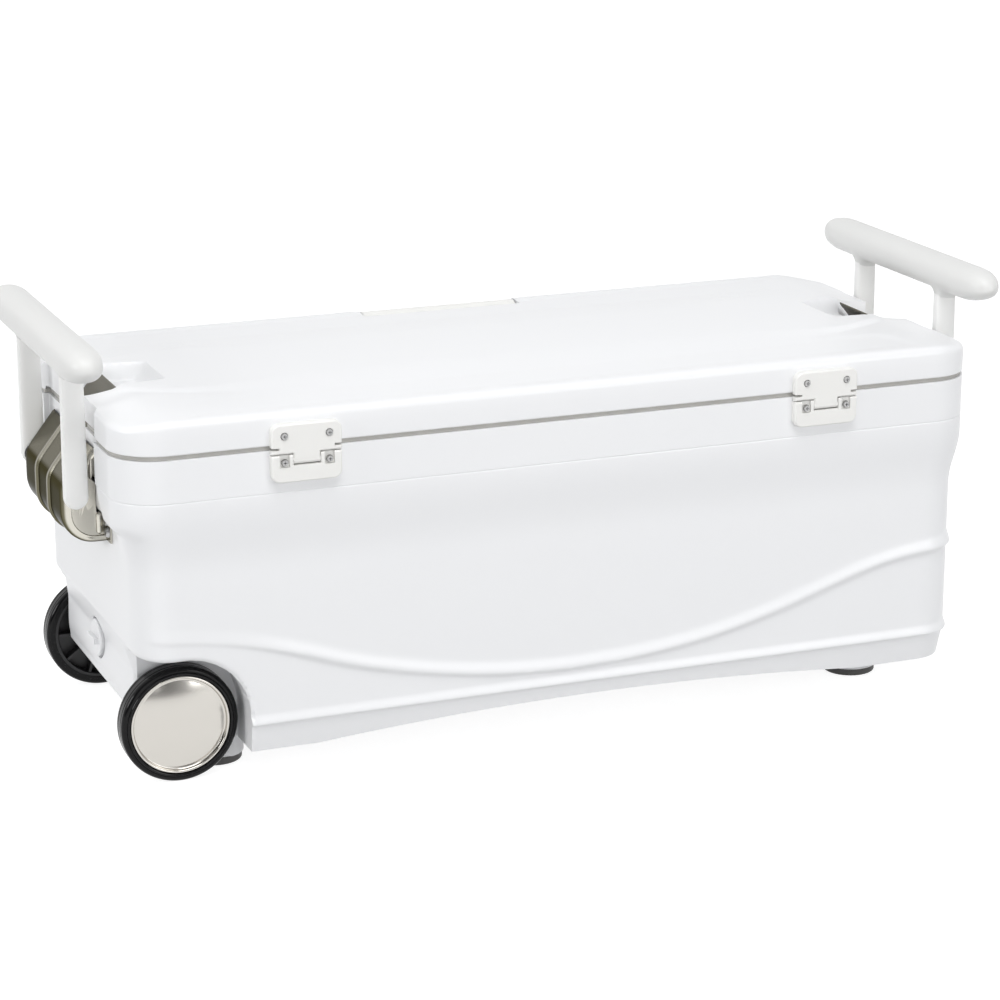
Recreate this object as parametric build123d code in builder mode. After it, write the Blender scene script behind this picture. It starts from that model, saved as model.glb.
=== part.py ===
"""Large wheeled cooler: insulated chest, hinged lid, two fold-down T handles.

Frame: +X runs along the length towards the end without wheels, -Y is the hinge side,
+Y the latch side, +Z is up and z = 0 is the ground. Millimetres.
"""

import os
from math import atan2, cos, degrees, radians, sin

from build123d import *

os.makedirs("parts", exist_ok=True)

# Fits shared by all pieces
running_gap = 0.05
seat_gap = 0.1
foam_gap = 0.4

# Plan of the lid and of the rim under it
lid_length = 960.0
lid_width = 406.0
lid_corner = 50.0

# Heights above the ground
belly_z = 30.0
skirt_z = 60.0
waist_z = 254.0
rim_z = 306.0
rim_height = 43.6
lid_gap = 4.6
lid_height = 33.8
panel_rise = 3.5

# Outer shell
shell_wall = 3.0
waist_inset = 9.0
waist_corner = 45.0
skirt_taper = 5.0
skirt_ridge = 1.6
skirt_ridge_height = 6.0
arch_rise = 13.0
arch_start_x = -262.0
arch_end_x = 322.0
wave_width = 15.0
wave_rise = 2.6
wave_left_z = 165.0
wave_fall_x = -281.0
wave_fall_z = 133.0
wave_low_x = 8.0
wave_low_z = 83.0
wave_climb_x = 312.0
wave_climb_z = 138.5
wave_right_z = 164.0
wave_end_slope = 0.06
tail_slope_top = 143.0
tail_slope_depth = 26.0

# Recess, bay and slot at each end
end_recess = 18.0
end_recess_width = 356.0
end_recess_bottom = 136.0
end_recess_top = 270.0
end_recess_corner = 40.0
bay_depth = 6.0
bay_width = 212.0
slot_depth = 44.0
slot_width = 92.0
rim_slot_depth = 19.0

# Rim frame, liner and insulation
rim_plate = 4.0
liner_wall = 3.0
liner_flange = 12.0
end_wall = 57.0
side_wall = 52.0
cavity_corner = 33.0
cavity_floor_z = 88.0
step_floor_z = 164.0
step_inset = 145.0
hinge_block_depth = 12.0

# Lid
lid_wall = 3.0
lid_edge_radius = 11.0
panel_end_inset = 38.0
panel_width = 206.0
panel_nose_width = 128.0
panel_nose_length = 112.0
panel_bevel = 50.0
dip_length = 52.0
dip_depth = 15.0
dip_slope = 9.0
plug_gap = 7.0
plug_depth = 14.0
inner_plate = 3.0
gasket_inset = 2.5
gasket_gap = 0.3
lid_foam_margin = 30.0

# Hinges
hinge_inset = 190.4
hinge_width = 73.6
hinge_bottom_z = 317.0
hinge_top_z = 377.0
hinge_proud = 8.0
hinge_corner = 9.0
hinge_edge = 1.4
hinge_split = 0.6
hinge_lap = 6.0
hinge_notch = 8.0
hinge_notch_height = 2.6
knuckle_width = 28.0
knuckle_gap = 0.5
knuckle_radius = 3.7
hinge_pin_radius = 2.2
hinge_pin_z = 339.0
hinge_pin_length = 34.0
hinge_screw_x = 23.5
lid_screw_z = 365.0
body_screw_z = 338.0
screw_radius = 1.9
screw_head_radius = 3.9
screw_head_height = 2.4
screw_sink = 3.2
screw_pocket = 5.2
screw_length = 14.0
cross_width = 1.1
cross_depth = 1.2

# Latch lever and keeper
latch_width = 184.0
latch_side_gap = 2.0
latch_barrel_radius = 16.5
latch_axis_inset = 12.0
latch_axis_drop = 17.0
latch_recess_depth = 32.0
latch_plate = 4.6
latch_plate_gap = 0.7
latch_bottom_z = 320.0
latch_pull_height = 5.0
latch_pull_depth = 2.4
latch_nose_height = 6.0
latch_pin_radius = 2.5
latch_ear = 8.0
keeper_width = 120.0
keeper_height = 9.0
keeper_proud = 0.5
keeper_seat = 2.4
keeper_z = 337.0
keeper_screw_x = 40.0

# Handle bracket
bracket_sheet = 2.0
bracket_half_width = 83.0
bracket_reach = 27.0
bracket_bottom_z = 238.0
bracket_knee_z = 298.0
bracket_foot_radius = 32.0
bracket_cheek_top_z = 338.0
bracket_wall_gap = 0.3
tongue_width = 80.0
tongue_inset = 42.0
tongue_drop = 1.0
tongue_hem = 3.2
bead_y = 25.0
bead_width = 4.0
bead_rise = 1.4
flange_width = 15.0
flange_top_z = 264.0
bolt_radius = 3.0
bolt_head_radius = 5.4
bolt_head_height = 3.4
bolt_length = 14.0
bolt_low = 11.0
bolt_high = 23.0

# Handles
handle_pivot_z = 291.0
leg_offset = 17.0
leg_width = 25.0
leg_thickness = 13.0
leg_edge = 4.5
leg_washer = 3.0
washer_radius = 10.5
pivot_radius = 4.0
pivot_head_radius = 8.0
pivot_head_height = 3.0
pivot_depth = 9.0
grip_offset = 23.5
grip_z = 441.0
grip_length = 370.0
grip_width = 43.0
grip_height = 37.0
grip_nose = 24.0
leg_socket_depth = 20.0

# Wheels and axle
wheel_radius = 61.5
wheel_inset = 63.5
wheel_outer_y = 171.0
wheel_width = 25.0
wheel_well_gap = 5.0
arch_gap = 6.5
arch_lift = 5.0
arch_centre_rise = 8.0
tyre_depth = 9.0
tyre_shoulder = 5.0
tyre_lip = 1.4
hub_web = 4.0
hub_boss_radius = 13.0
hub_rib_count = 8
hub_rib_width = 3.0
hub_rim = 4.0
hubcap_sheet = 1.2
hubcap_dish = 4.5
hubcap_lip = 2.2
hubcap_inset = 1.5
axle_radius = 6.0
axle_end_gap = 7.0
sleeve_wall = 2.5
spacer_radius = 11.0
clip_radius = 9.5
clip_thickness = 1.6
clip_seat = 0.2

# Feet
foot_front_inset = 100.0
foot_rear_inset = 114.0
foot_side_inset = 90.0
foot_radius = 29.0
foot_pad_height = 8.0
foot_boss_radius = 31.0
foot_screw_radius = 2.5
foot_screw_head = 5.0
foot_screw_head_height = 3.0
foot_screw_sink = 4.5
foot_screw_length = 36.0

# Drain
drain_z = 107.0
drain_tube_radius = 12.0
drain_tube_wall = 2.5
drain_flange_radius = 19.0
drain_flange = 2.0
drain_seal = 2.0
drain_seal_radius = 17.0
drain_head_radius = 20.0
drain_head = 6.0
drain_stem = 18.0
drain_stem_gap = 0.3
drain_bar_height = 5.0
drain_bar_width = 6.0
drain_pocket_radius = 25.0
drain_sink = 12.0

# Levels and half sizes worked out from the values above
rim_top = rim_z + rim_height
lid_z = rim_top + lid_gap
lid_top = lid_z + lid_height
lid_half = lid_length / 2
side_y = lid_width / 2
cavity_length = lid_length - 2 * end_wall
cavity_width = lid_width - 2 * side_wall
step_x = step_inset - lid_half
panel_length = lid_length - 2 * panel_end_inset
plug_length = cavity_length - 2 * plug_gap
plug_width = cavity_width - 2 * plug_gap
hinge_x = lid_half - hinge_inset
wheel_x = wheel_inset - lid_half
foot_front_x = lid_half - foot_front_inset
foot_rear_x = foot_rear_inset - lid_half
foot_y = side_y - foot_side_inset
wall_half = lid_half - waist_inset
wall_y = side_y - waist_inset
recess_x = lid_half - end_recess
bay_x = lid_half - bay_depth
slot_x = lid_half - slot_depth
well_y = wheel_outer_y - wheel_width - wheel_well_gap
arch_radius = wheel_radius + arch_gap
wheel_z = wheel_radius
arch_z = wheel_z + arch_centre_rise
drain_face_x = drain_sink - recess_x
hinge_face_y = -(side_y + hinge_proud)
hinge_pin_y = -(side_y + knuckle_radius + knuckle_gap)
latch_face_y = side_y + hinge_proud
cut_reach = lid_length


def rounded_slab(length, width, corner, bottom, top, mode=Mode.ADD, middle_x=0.0):
    """Add or cut an upright slab with rounded plan corners, centred on middle_x and Y = 0."""
    with BuildSketch(Plane.XY.offset(bottom)) as outline:
        with Locations((middle_x, 0)):
            RectangleRounded(length, width, corner)
    extrude(outline.sketch, amount=top - bottom, mode=mode)


def span_box(x, y, z, mode=Mode.ADD):
    """Add or cut a box given as three (low, high) pairs."""
    middle = ((x[0] + x[1]) / 2, (y[0] + y[1]) / 2, (z[0] + z[1]) / 2)
    with Locations(middle):
        Box(x[1] - x[0], y[1] - y[0], z[1] - z[0], mode=mode)


def rod(centre, axis, radius, low, high, mode=Mode.ADD):
    """Add or cut a round rod along X, Y or Z between two levels of that axis."""
    base = {"X": Plane.YZ, "Y": Plane.XZ, "Z": Plane.XY}[axis]
    turn = -1 if axis == "Y" else 1
    with BuildSketch(base.offset(turn * low)) as round_face:
        with Locations(centre):
            Circle(radius)
    extrude(round_face.sketch, amount=turn * (high - low), mode=mode)


def end_cuts(half_bay, x_bay, half_slot, x_slot, bottom, top, mode=Mode.SUBTRACT):
    """Cut the handle bay and the tongue slot at both ends between two heights."""
    for side in (-1, 1):
        for half, depth in ((half_bay, x_bay), (half_slot, x_slot)):
            ends = sorted((side * depth, side * cut_reach))
            span_box(ends, (-half, half), (bottom, top), mode)


def cut_wheel_wells():
    """Cut both wheel wells, open outwards, downwards and to the tail."""
    for side in (-1, 1):
        with BuildSketch(Plane.XZ.offset(-side * well_y)) as well:
            with BuildLine():
                Polyline((wheel_x + arch_radius, arch_z),
                         (wheel_x + arch_radius, -belly_z),
                         (-lid_half - end_recess, -belly_z),
                         (-lid_half - end_recess, arch_z + arch_radius + arch_lift),
                         (wheel_x - arch_radius / 2, arch_z + arch_radius),
                         (wheel_x, arch_z + arch_radius))
                RadiusArc((wheel_x, arch_z + arch_radius), (wheel_x + arch_radius, arch_z),
                          arch_radius)
            make_face()
        extrude(well.sketch, amount=-side * lid_width, mode=Mode.SUBTRACT)


def save(builder, name):
    """Label a finished piece and write it."""
    builder.part.label = name
    export_step(builder.part, f"parts/{name}.step")


def screw(place, direction):
    """Add one cross-head screw whose head faces along direction at place."""
    head_plane = Plane(origin=place, z_dir=direction)
    with BuildSketch(head_plane) as head:
        Circle(screw_head_radius)
    extrude(head.sketch, amount=-screw_head_height)
    with BuildSketch(head_plane.offset(-screw_head_height)) as shank:
        Circle(screw_radius)
    extrude(shank.sketch, amount=-screw_length)
    with BuildSketch(head_plane) as cross:
        Rectangle(screw_head_radius, cross_width)
        Rectangle(cross_width, screw_head_radius)
    extrude(cross.sketch, amount=-cross_depth, mode=Mode.SUBTRACT)


# Screw places: across the hinge width, and down the latch keeper
lid_screw_points = [(side * hinge_x + step * hinge_screw_x, lid_screw_z)
                    for side in (-1, 1) for step in (-1, 1)]
body_screw_points = [(side * hinge_x + step * hinge_screw_x, body_screw_z)
                     for side in (-1, 1) for step in (-1, 1)]
hinge_screw_y = hinge_face_y + screw_sink - screw_head_height
hinge_shank_end = hinge_screw_y + screw_head_height + screw_length
keeper_screw_y = side_y - keeper_seat + screw_head_height
foot_points = [(x, side * foot_y) for x in (foot_rear_x, foot_front_x) for side in (-1, 1)]
keeper_block = screw_length + keeper_seat

# Body shell: tapered skirt, straight wall, flare up to the rim
wave_half = wall_half - waist_corner
flare_steps = ((0.0, 1.0), (0.25, 0.86), (0.72, 0.14), (1.0, 0.0))
with BuildPart() as body_shell:
    with BuildSketch(Plane.XY.offset(belly_z)) as skirt_low:
        RectangleRounded(2 * (wall_half - skirt_taper), 2 * (wall_y - skirt_taper), waist_corner)
    with BuildSketch(Plane.XY.offset(skirt_z)) as skirt_high:
        RectangleRounded(2 * wall_half, 2 * wall_y, waist_corner)
    loft([skirt_low.sketch, skirt_high.sketch], ruled=True)
    rounded_slab(2 * wall_half, 2 * wall_y, waist_corner, skirt_z, waist_z)
    rounded_slab(2 * (wall_half + skirt_ridge), 2 * (wall_y + skirt_ridge), waist_corner,
                 skirt_z - skirt_ridge_height / 2, skirt_z + skirt_ridge_height / 2)
    flare = []
    for height_share, inset_share in flare_steps:
        inset = waist_inset * inset_share
        level = waist_z + (rim_z - waist_z) * height_share
        corner = lid_corner + (waist_corner - lid_corner) * inset_share
        with BuildSketch(Plane.XY.offset(level)) as ring:
            RectangleRounded(lid_length - 2 * inset, lid_width - 2 * inset, corner)
        flare.append(ring.sketch)
    loft(flare, ruled=True)
    # Wave rib along both long sides, carried level round the front end
    with BuildSketch(Plane.XZ.offset(-wall_y - wave_rise)) as wave:
        with BuildLine():
            for shift in (-wave_width / 2, wave_width / 2):
                Spline((-wave_half, wave_left_z + shift), (wave_fall_x, wave_fall_z + shift),
                       (wave_low_x, wave_low_z + shift), (wave_climb_x, wave_climb_z + shift),
                       (wave_half, wave_right_z + shift),
                       tangents=((1, -wave_end_slope), (1, wave_end_slope)))
            for end_x, end_z in ((-wave_half, wave_left_z), (wave_half, wave_right_z)):
                Line((end_x, end_z - wave_width / 2), (end_x, end_z + wave_width / 2))
        make_face()
    extrude(wave.sketch, amount=2 * (wall_y + wave_rise))
    with BuildSketch(Plane.XY.offset(wave_right_z - wave_width / 2)) as front_wave:
        RectangleRounded(2 * (wall_half + wave_rise), 2 * (wall_y + wave_rise),
                         waist_corner + wave_rise)
        with Locations((-waist_corner, 0)):
            Rectangle(2 * wall_half, 4 * wall_y, mode=Mode.SUBTRACT)
    extrude(front_wave.sketch, amount=wave_width)
    # Arched belly
    with BuildSketch(Plane.XZ) as belly_arch:
        with BuildLine():
            ThreePointArc((arch_start_x, belly_z),
                          ((arch_start_x + arch_end_x) / 2, belly_z + arch_rise),
                          (arch_end_x, belly_z))
            Line((arch_end_x, belly_z), (arch_start_x, belly_z))
        make_face()
    extrude(belly_arch.sketch, amount=lid_width, both=True, mode=Mode.SUBTRACT)
    # Tail end slopes in towards the ground between the wheels
    with BuildSketch(Plane.XZ) as tail_slope:
        with BuildLine():
            Polyline((-wall_half - skirt_ridge, tail_slope_top),
                     (-wall_half + tail_slope_depth, belly_z - 1),
                     (-lid_half - end_recess, belly_z - 1),
                     (-lid_half - end_recess, tail_slope_top), close=True)
        make_face()
    extrude(tail_slope.sketch, amount=lid_width, both=True, mode=Mode.SUBTRACT)
    # Wheel wells, open outwards, downwards and to the tail
    cut_wheel_wells()
    # Shallow recess and handle bay at each end
    for side in (-1, 1):
        with BuildSketch(Plane.YZ.offset(side * recess_x)) as recess:
            with Locations((0, (end_recess_bottom + end_recess_top) / 2)):
                RectangleRounded(end_recess_width, end_recess_top - end_recess_bottom,
                                 end_recess_corner)
        extrude(recess.sketch, amount=side * lid_half, mode=Mode.SUBTRACT)
        bay = sorted((side * bay_x, side * cut_reach))
        span_box(bay, (-bay_width / 2, bay_width / 2), (end_recess_top - 1, rim_z),
                 Mode.SUBTRACT)
    # Hollow for the insulation: one upper room and two lower ones clear of the wells
    upper_room_z = arch_z + arch_radius + arch_lift + shell_wall + 2
    room_x = recess_x - shell_wall
    floor_z = belly_z + arch_rise + shell_wall + 1
    well_front = wheel_x + arch_radius + shell_wall
    tail_x = -wall_half + tail_slope_depth + shell_wall
    rounded_slab(2 * room_x, 2 * (wall_y - shell_wall), waist_corner - shell_wall,
                 upper_room_z, rim_z, Mode.SUBTRACT)
    low_room_y = wall_y - skirt_taper - shell_wall
    low_room_x = (well_front + room_x) / 2
    rounded_slab(room_x - well_front, 2 * low_room_y, waist_corner - shell_wall, floor_z,
                 upper_room_z, Mode.SUBTRACT, low_room_x)
    span_box((tail_x, well_front + waist_corner), (-well_y + shell_wall, well_y - shell_wall),
             (floor_z, upper_room_z), Mode.SUBTRACT)
    # Axle tunnel, drain and screw holes
    rod((wheel_x, wheel_z), "Y", axle_radius + sleeve_wall + seat_gap, -lid_width, lid_width,
        Mode.SUBTRACT)
    rod((0, drain_z), "X", drain_pocket_radius, -cut_reach, drain_face_x, Mode.SUBTRACT)
    rod((0, drain_z), "X", drain_tube_radius + drain_tube_wall + seat_gap, drain_face_x - 1,
        tail_x, Mode.SUBTRACT)
    for x, y in foot_points:
        rod((x, y), "Z", foot_screw_radius + running_gap, 0, foot_screw_length + foot_screw_sink,
            Mode.SUBTRACT)
    for side in (-1, 1):
        for level in (bolt_low, bolt_high):
            for cheek in (-1, 1):
                ends = sorted((side * (recess_x + 1), side * (room_x - 1)))
                bolt_y = cheek * (bracket_half_width + flange_width / 2)
                rod((bolt_y, bracket_bottom_z + level), "X", bolt_radius + running_gap,
                    ends[0], ends[1], Mode.SUBTRACT)
save(body_shell, "body_shell")

# Rim frame: band round the mouth with a flat top plate and screw blocks
mouth_length = cavity_length
mouth_width = cavity_width
with BuildPart() as rim_frame:
    rounded_slab(lid_length, lid_width, lid_corner, rim_z, rim_top)
    end_cuts(bay_width / 2, bay_x, slot_width / 2, lid_half - rim_slot_depth, rim_z, rim_top)
    with BuildSketch(Plane.XY.offset(rim_z)) as rim_room:
        RectangleRounded(lid_length - 2 * shell_wall, lid_width - 2 * shell_wall,
                         lid_corner - shell_wall)
        for side in (-1, 1):
            with Locations((side * lid_half, 0)):
                Rectangle(2 * (bay_depth + shell_wall), bay_width + 2 * shell_wall,
                          mode=Mode.SUBTRACT)
                Rectangle(2 * (rim_slot_depth + shell_wall), slot_width + 2 * shell_wall,
                          mode=Mode.SUBTRACT)
            with Locations((side * hinge_x, -side_y)):
                Rectangle(hinge_width, 2 * (shell_wall + hinge_block_depth), mode=Mode.SUBTRACT)
        with Locations((0, side_y)):
            Rectangle(keeper_width, 2 * keeper_block, mode=Mode.SUBTRACT)
    extrude(rim_room.sketch, amount=rim_height - rim_plate, mode=Mode.SUBTRACT)
    rounded_slab(mouth_length, mouth_width, cavity_corner, rim_z, rim_top, Mode.SUBTRACT)
    span_box((-keeper_width / 2 - seat_gap, keeper_width / 2 + seat_gap),
             (side_y - keeper_seat, side_y + keeper_seat),
             (keeper_z - keeper_height / 2 - seat_gap, keeper_z + keeper_height / 2 + seat_gap),
             Mode.SUBTRACT)
    for x, z in body_screw_points:
        rod((x, z), "Y", screw_radius + running_gap, -side_y - 1, hinge_shank_end,
            Mode.SUBTRACT)
    for step in (-1, 1):
        rod((step * keeper_screw_x, keeper_z), "Y", screw_radius + running_gap,
            keeper_screw_y - screw_head_height - screw_length, side_y, Mode.SUBTRACT)
save(rim_frame, "rim_frame")

# Inner liner: stepped tub hung from the rim by its flange
liner_top = rim_top - rim_plate
cavity_end = cavity_length / 2
with BuildPart() as inner_liner:
    rounded_slab(cavity_length + 2 * liner_wall, cavity_width + 2 * liner_wall,
                 cavity_corner + liner_wall, step_floor_z - liner_wall, liner_top)
    rounded_slab(cavity_length + 2 * liner_flange, cavity_width + 2 * liner_flange,
                 cavity_corner + liner_flange, liner_top - liner_wall, liner_top)
    low_length = cavity_end - step_x
    low_middle = (cavity_end + step_x) / 2
    rounded_slab(low_length + 2 * liner_wall, cavity_width + 2 * liner_wall,
                 cavity_corner + liner_wall, cavity_floor_z - liner_wall,
                 step_floor_z - liner_wall, middle_x=low_middle)
    rounded_slab(cavity_length, cavity_width, cavity_corner, step_floor_z, liner_top,
                 Mode.SUBTRACT)
    rounded_slab(low_length, cavity_width, cavity_corner, cavity_floor_z, step_floor_z,
                 Mode.SUBTRACT, low_middle)
    rod((0, drain_z), "X", drain_tube_radius + drain_tube_wall + seat_gap,
        step_x - liner_wall - 1, step_x + 1, Mode.SUBTRACT)
save(inner_liner, "inner_liner")

# Insulation core: foam between shell and liner
with BuildPart() as insulation_core:
    rounded_slab(2 * (room_x - foam_gap), 2 * (wall_y - shell_wall - foam_gap),
                 waist_corner - shell_wall, upper_room_z + foam_gap, rim_z)
    rounded_slab(2 * (room_x - shell_wall), 2 * (side_y - keeper_block - foam_gap),
                 waist_corner - shell_wall, rim_z, liner_top - liner_wall - foam_gap)
    rounded_slab(room_x - well_front - 2 * foam_gap, 2 * (low_room_y - foam_gap),
                 waist_corner - shell_wall, floor_z + foam_gap, upper_room_z + foam_gap,
                 middle_x=low_room_x)
    span_box((tail_x + foam_gap, well_front + waist_corner - foam_gap),
             (-well_y + shell_wall + foam_gap, well_y - shell_wall - foam_gap),
             (floor_z + foam_gap, upper_room_z + foam_gap))
    liner_skin = liner_wall + foam_gap
    rounded_slab(cavity_length + 2 * liner_skin, cavity_width + 2 * liner_skin,
                 cavity_corner + liner_skin, step_floor_z - liner_skin, rim_top, Mode.SUBTRACT)
    rounded_slab(low_length + 2 * liner_skin, cavity_width + 2 * liner_skin,
                 cavity_corner + liner_skin, cavity_floor_z - liner_skin, step_floor_z,
                 Mode.SUBTRACT, low_middle)
    rod((wheel_x, wheel_z), "Y", axle_radius + sleeve_wall + foam_gap, -lid_width, lid_width,
        Mode.SUBTRACT)
    rod((0, drain_z), "X", drain_tube_radius + drain_tube_wall + foam_gap, -cut_reach, step_x,
        Mode.SUBTRACT)
    for side in (-1, 1):
        for level in (bolt_low, bolt_high):
            for cheek in (-1, 1):
                ends = sorted((side * (recess_x - bolt_length), side * cut_reach))
                bolt_y = cheek * (bracket_half_width + flange_width / 2)
                rod((bolt_y, bracket_bottom_z + level), "X", bolt_radius + foam_gap,
                    ends[0], ends[1], Mode.SUBTRACT)
save(insulation_core, "insulation_core")

# Lid cover: shell with a raised panel, slots at the ends and a latch recess
latch_recess_y = side_y - latch_recess_depth
latch_recess_half = latch_width / 2 + latch_side_gap
dip_floor_z = lid_top - dip_depth
with BuildPart() as lid_cover:
    rounded_slab(lid_length, lid_width, lid_corner, lid_z, lid_top)
    fillet(faces().sort_by(Axis.Z)[-1].edges(), lid_edge_radius)
    with BuildSketch(Plane.XY.offset(lid_top)) as panel:
        with BuildLine():
            straight = panel_length / 2 - panel_nose_length
            for side in (-1, 1):
                Line((-straight, side * panel_width / 2), (straight, side * panel_width / 2))
                Line((side * panel_length / 2, -panel_nose_width / 2),
                     (side * panel_length / 2, panel_nose_width / 2))
                for flank in (-1, 1):
                    Bezier((side * straight, flank * panel_width / 2),
                           (side * (straight + panel_nose_length / 2), flank * panel_width / 2),
                           (side * panel_length / 2, flank * panel_nose_width / 2))
        make_face()
    extrude(panel.sketch, amount=panel_rise, taper=panel_bevel)
    end_cuts(bay_width / 2, bay_x, slot_width / 2, slot_x, lid_z, lid_top + panel_rise)
    span_box((-latch_recess_half, latch_recess_half), (latch_recess_y, lid_width),
             (lid_z, lid_top + panel_rise), Mode.SUBTRACT)
    with BuildSketch(Plane.XY.offset(lid_z)) as lid_room:
        RectangleRounded(lid_length - 2 * lid_wall, lid_width - 2 * lid_wall,
                         lid_corner - lid_wall)
        for side in (-1, 1):
            with Locations((side * lid_half, 0)):
                Rectangle(2 * (bay_depth + lid_wall), bay_width + 2 * lid_wall,
                          mode=Mode.SUBTRACT)
                Rectangle(2 * (slot_depth + lid_wall), slot_width + 2 * lid_wall,
                          mode=Mode.SUBTRACT)
            with Locations((side * hinge_x, -side_y)):
                Rectangle(hinge_width, 2 * (lid_wall + hinge_block_depth), mode=Mode.SUBTRACT)
        with Locations((0, side_y)):
            Rectangle(2 * (latch_recess_half + lid_wall + latch_ear),
                      2 * (latch_recess_depth + lid_wall), mode=Mode.SUBTRACT)
    extrude(lid_room.sketch, amount=lid_height - lid_wall, mode=Mode.SUBTRACT)
    # Finger dip behind each bracket tongue
    for side in (-1, 1):
        ends = sorted((side * slot_x, side * (slot_x - dip_length - lid_wall)))
        span_box(ends, (-slot_width / 2 - lid_wall, slot_width / 2 + lid_wall),
                 (dip_floor_z - lid_wall, lid_top))
        with BuildSketch(Plane.XZ) as dip:
            with BuildLine():
                Polyline((side * slot_x, dip_floor_z),
                         (side * (slot_x - dip_length + dip_slope), dip_floor_z),
                         (side * (slot_x - dip_length), lid_top + panel_rise),
                         (side * slot_x, lid_top + panel_rise), close=True)
            make_face()
        extrude(dip.sketch, amount=slot_width / 2, both=True, mode=Mode.SUBTRACT)
    for x, z in lid_screw_points:
        rod((x, z), "Y", screw_radius + running_gap, -side_y - 1, hinge_shank_end,
            Mode.SUBTRACT)
    latch_axis_y = side_y - latch_axis_inset
    latch_axis_z = lid_top - latch_axis_drop
    pin_half = latch_recess_half + latch_ear
    rod((latch_axis_y, latch_axis_z), "X", latch_pin_radius + running_gap, -pin_half, pin_half,
        Mode.SUBTRACT)
save(lid_cover, "lid_cover")

# Lid inner panel with the plug that closes the mouth
lid_fit = lid_wall + seat_gap
with BuildPart() as lid_inner:
    with BuildSketch(Plane.XY.offset(lid_z)) as lid_plate:
        RectangleRounded(lid_length - 2 * lid_fit, lid_width - 2 * lid_fit, lid_corner - lid_fit)
        for side in (-1, 1):
            with Locations((side * lid_half, 0)):
                Rectangle(2 * (bay_depth + lid_fit), bay_width + 2 * lid_fit, mode=Mode.SUBTRACT)
                Rectangle(2 * (slot_depth + lid_fit), slot_width + 2 * lid_fit,
                          mode=Mode.SUBTRACT)
            with Locations((side * hinge_x, -side_y)):
                Rectangle(hinge_width + 2 * seat_gap, 2 * (lid_fit + hinge_block_depth),
                          mode=Mode.SUBTRACT)
        with Locations((0, side_y)):
            Rectangle(2 * (latch_recess_half + latch_ear + lid_fit),
                      2 * (latch_recess_depth + lid_fit), mode=Mode.SUBTRACT)
    extrude(lid_plate.sketch, amount=inner_plate)
    rounded_slab(plug_length, plug_width, cavity_corner, lid_z - plug_depth, lid_z)
    rounded_slab(plug_length - 2 * lid_wall, plug_width - 2 * lid_wall, cavity_corner - lid_wall,
                 lid_z - plug_depth + lid_wall, lid_z + inner_plate, Mode.SUBTRACT)
save(lid_inner, "lid_inner")

# Foam slab inside the lid, down into the plug
lid_foam_length = 2 * (slot_x - dip_length - lid_wall) - lid_foam_margin
lid_foam_width = 2 * (latch_recess_y - lid_wall) - lid_foam_margin
with BuildPart() as lid_foam:
    rounded_slab(lid_foam_length, lid_foam_width, cavity_corner, lid_z + inner_plate + foam_gap,
                 lid_top - lid_wall - foam_gap)
    rounded_slab(min(lid_foam_length, plug_length - 2 * lid_fit),
                 plug_width - 2 * (lid_wall + foam_gap), cavity_corner - lid_wall,
                 lid_z - plug_depth + lid_wall + foam_gap, lid_z + inner_plate + foam_gap)
save(lid_foam, "lid_foam")

# Flat gasket seen as the dark line between lid and rim
gasket_edge = gasket_inset + seat_gap
with BuildPart() as lid_gasket:
    with BuildSketch(Plane.XY.offset(rim_top + gasket_gap)) as seal:
        RectangleRounded(lid_length - 2 * gasket_inset, lid_width - 2 * gasket_inset,
                         lid_corner - gasket_inset)
        for side in (-1, 1):
            with Locations((side * lid_half, 0)):
                Rectangle(2 * (bay_depth + gasket_edge), bay_width + 2 * gasket_edge,
                          mode=Mode.SUBTRACT)
                Rectangle(2 * (slot_depth + gasket_edge), slot_width + 2 * gasket_edge,
                          mode=Mode.SUBTRACT)
        with Locations((0, side_y)):
            Rectangle(2 * (latch_recess_half + gasket_edge),
                      2 * (latch_recess_depth + gasket_edge), mode=Mode.SUBTRACT)
        RectangleRounded(plug_length + 2 * seat_gap, plug_width + 2 * seat_gap,
                         cavity_corner + seat_gap, mode=Mode.SUBTRACT)
    extrude(seal.sketch, amount=lid_gap - gasket_gap)
save(lid_gasket, "lid_gasket")

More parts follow.
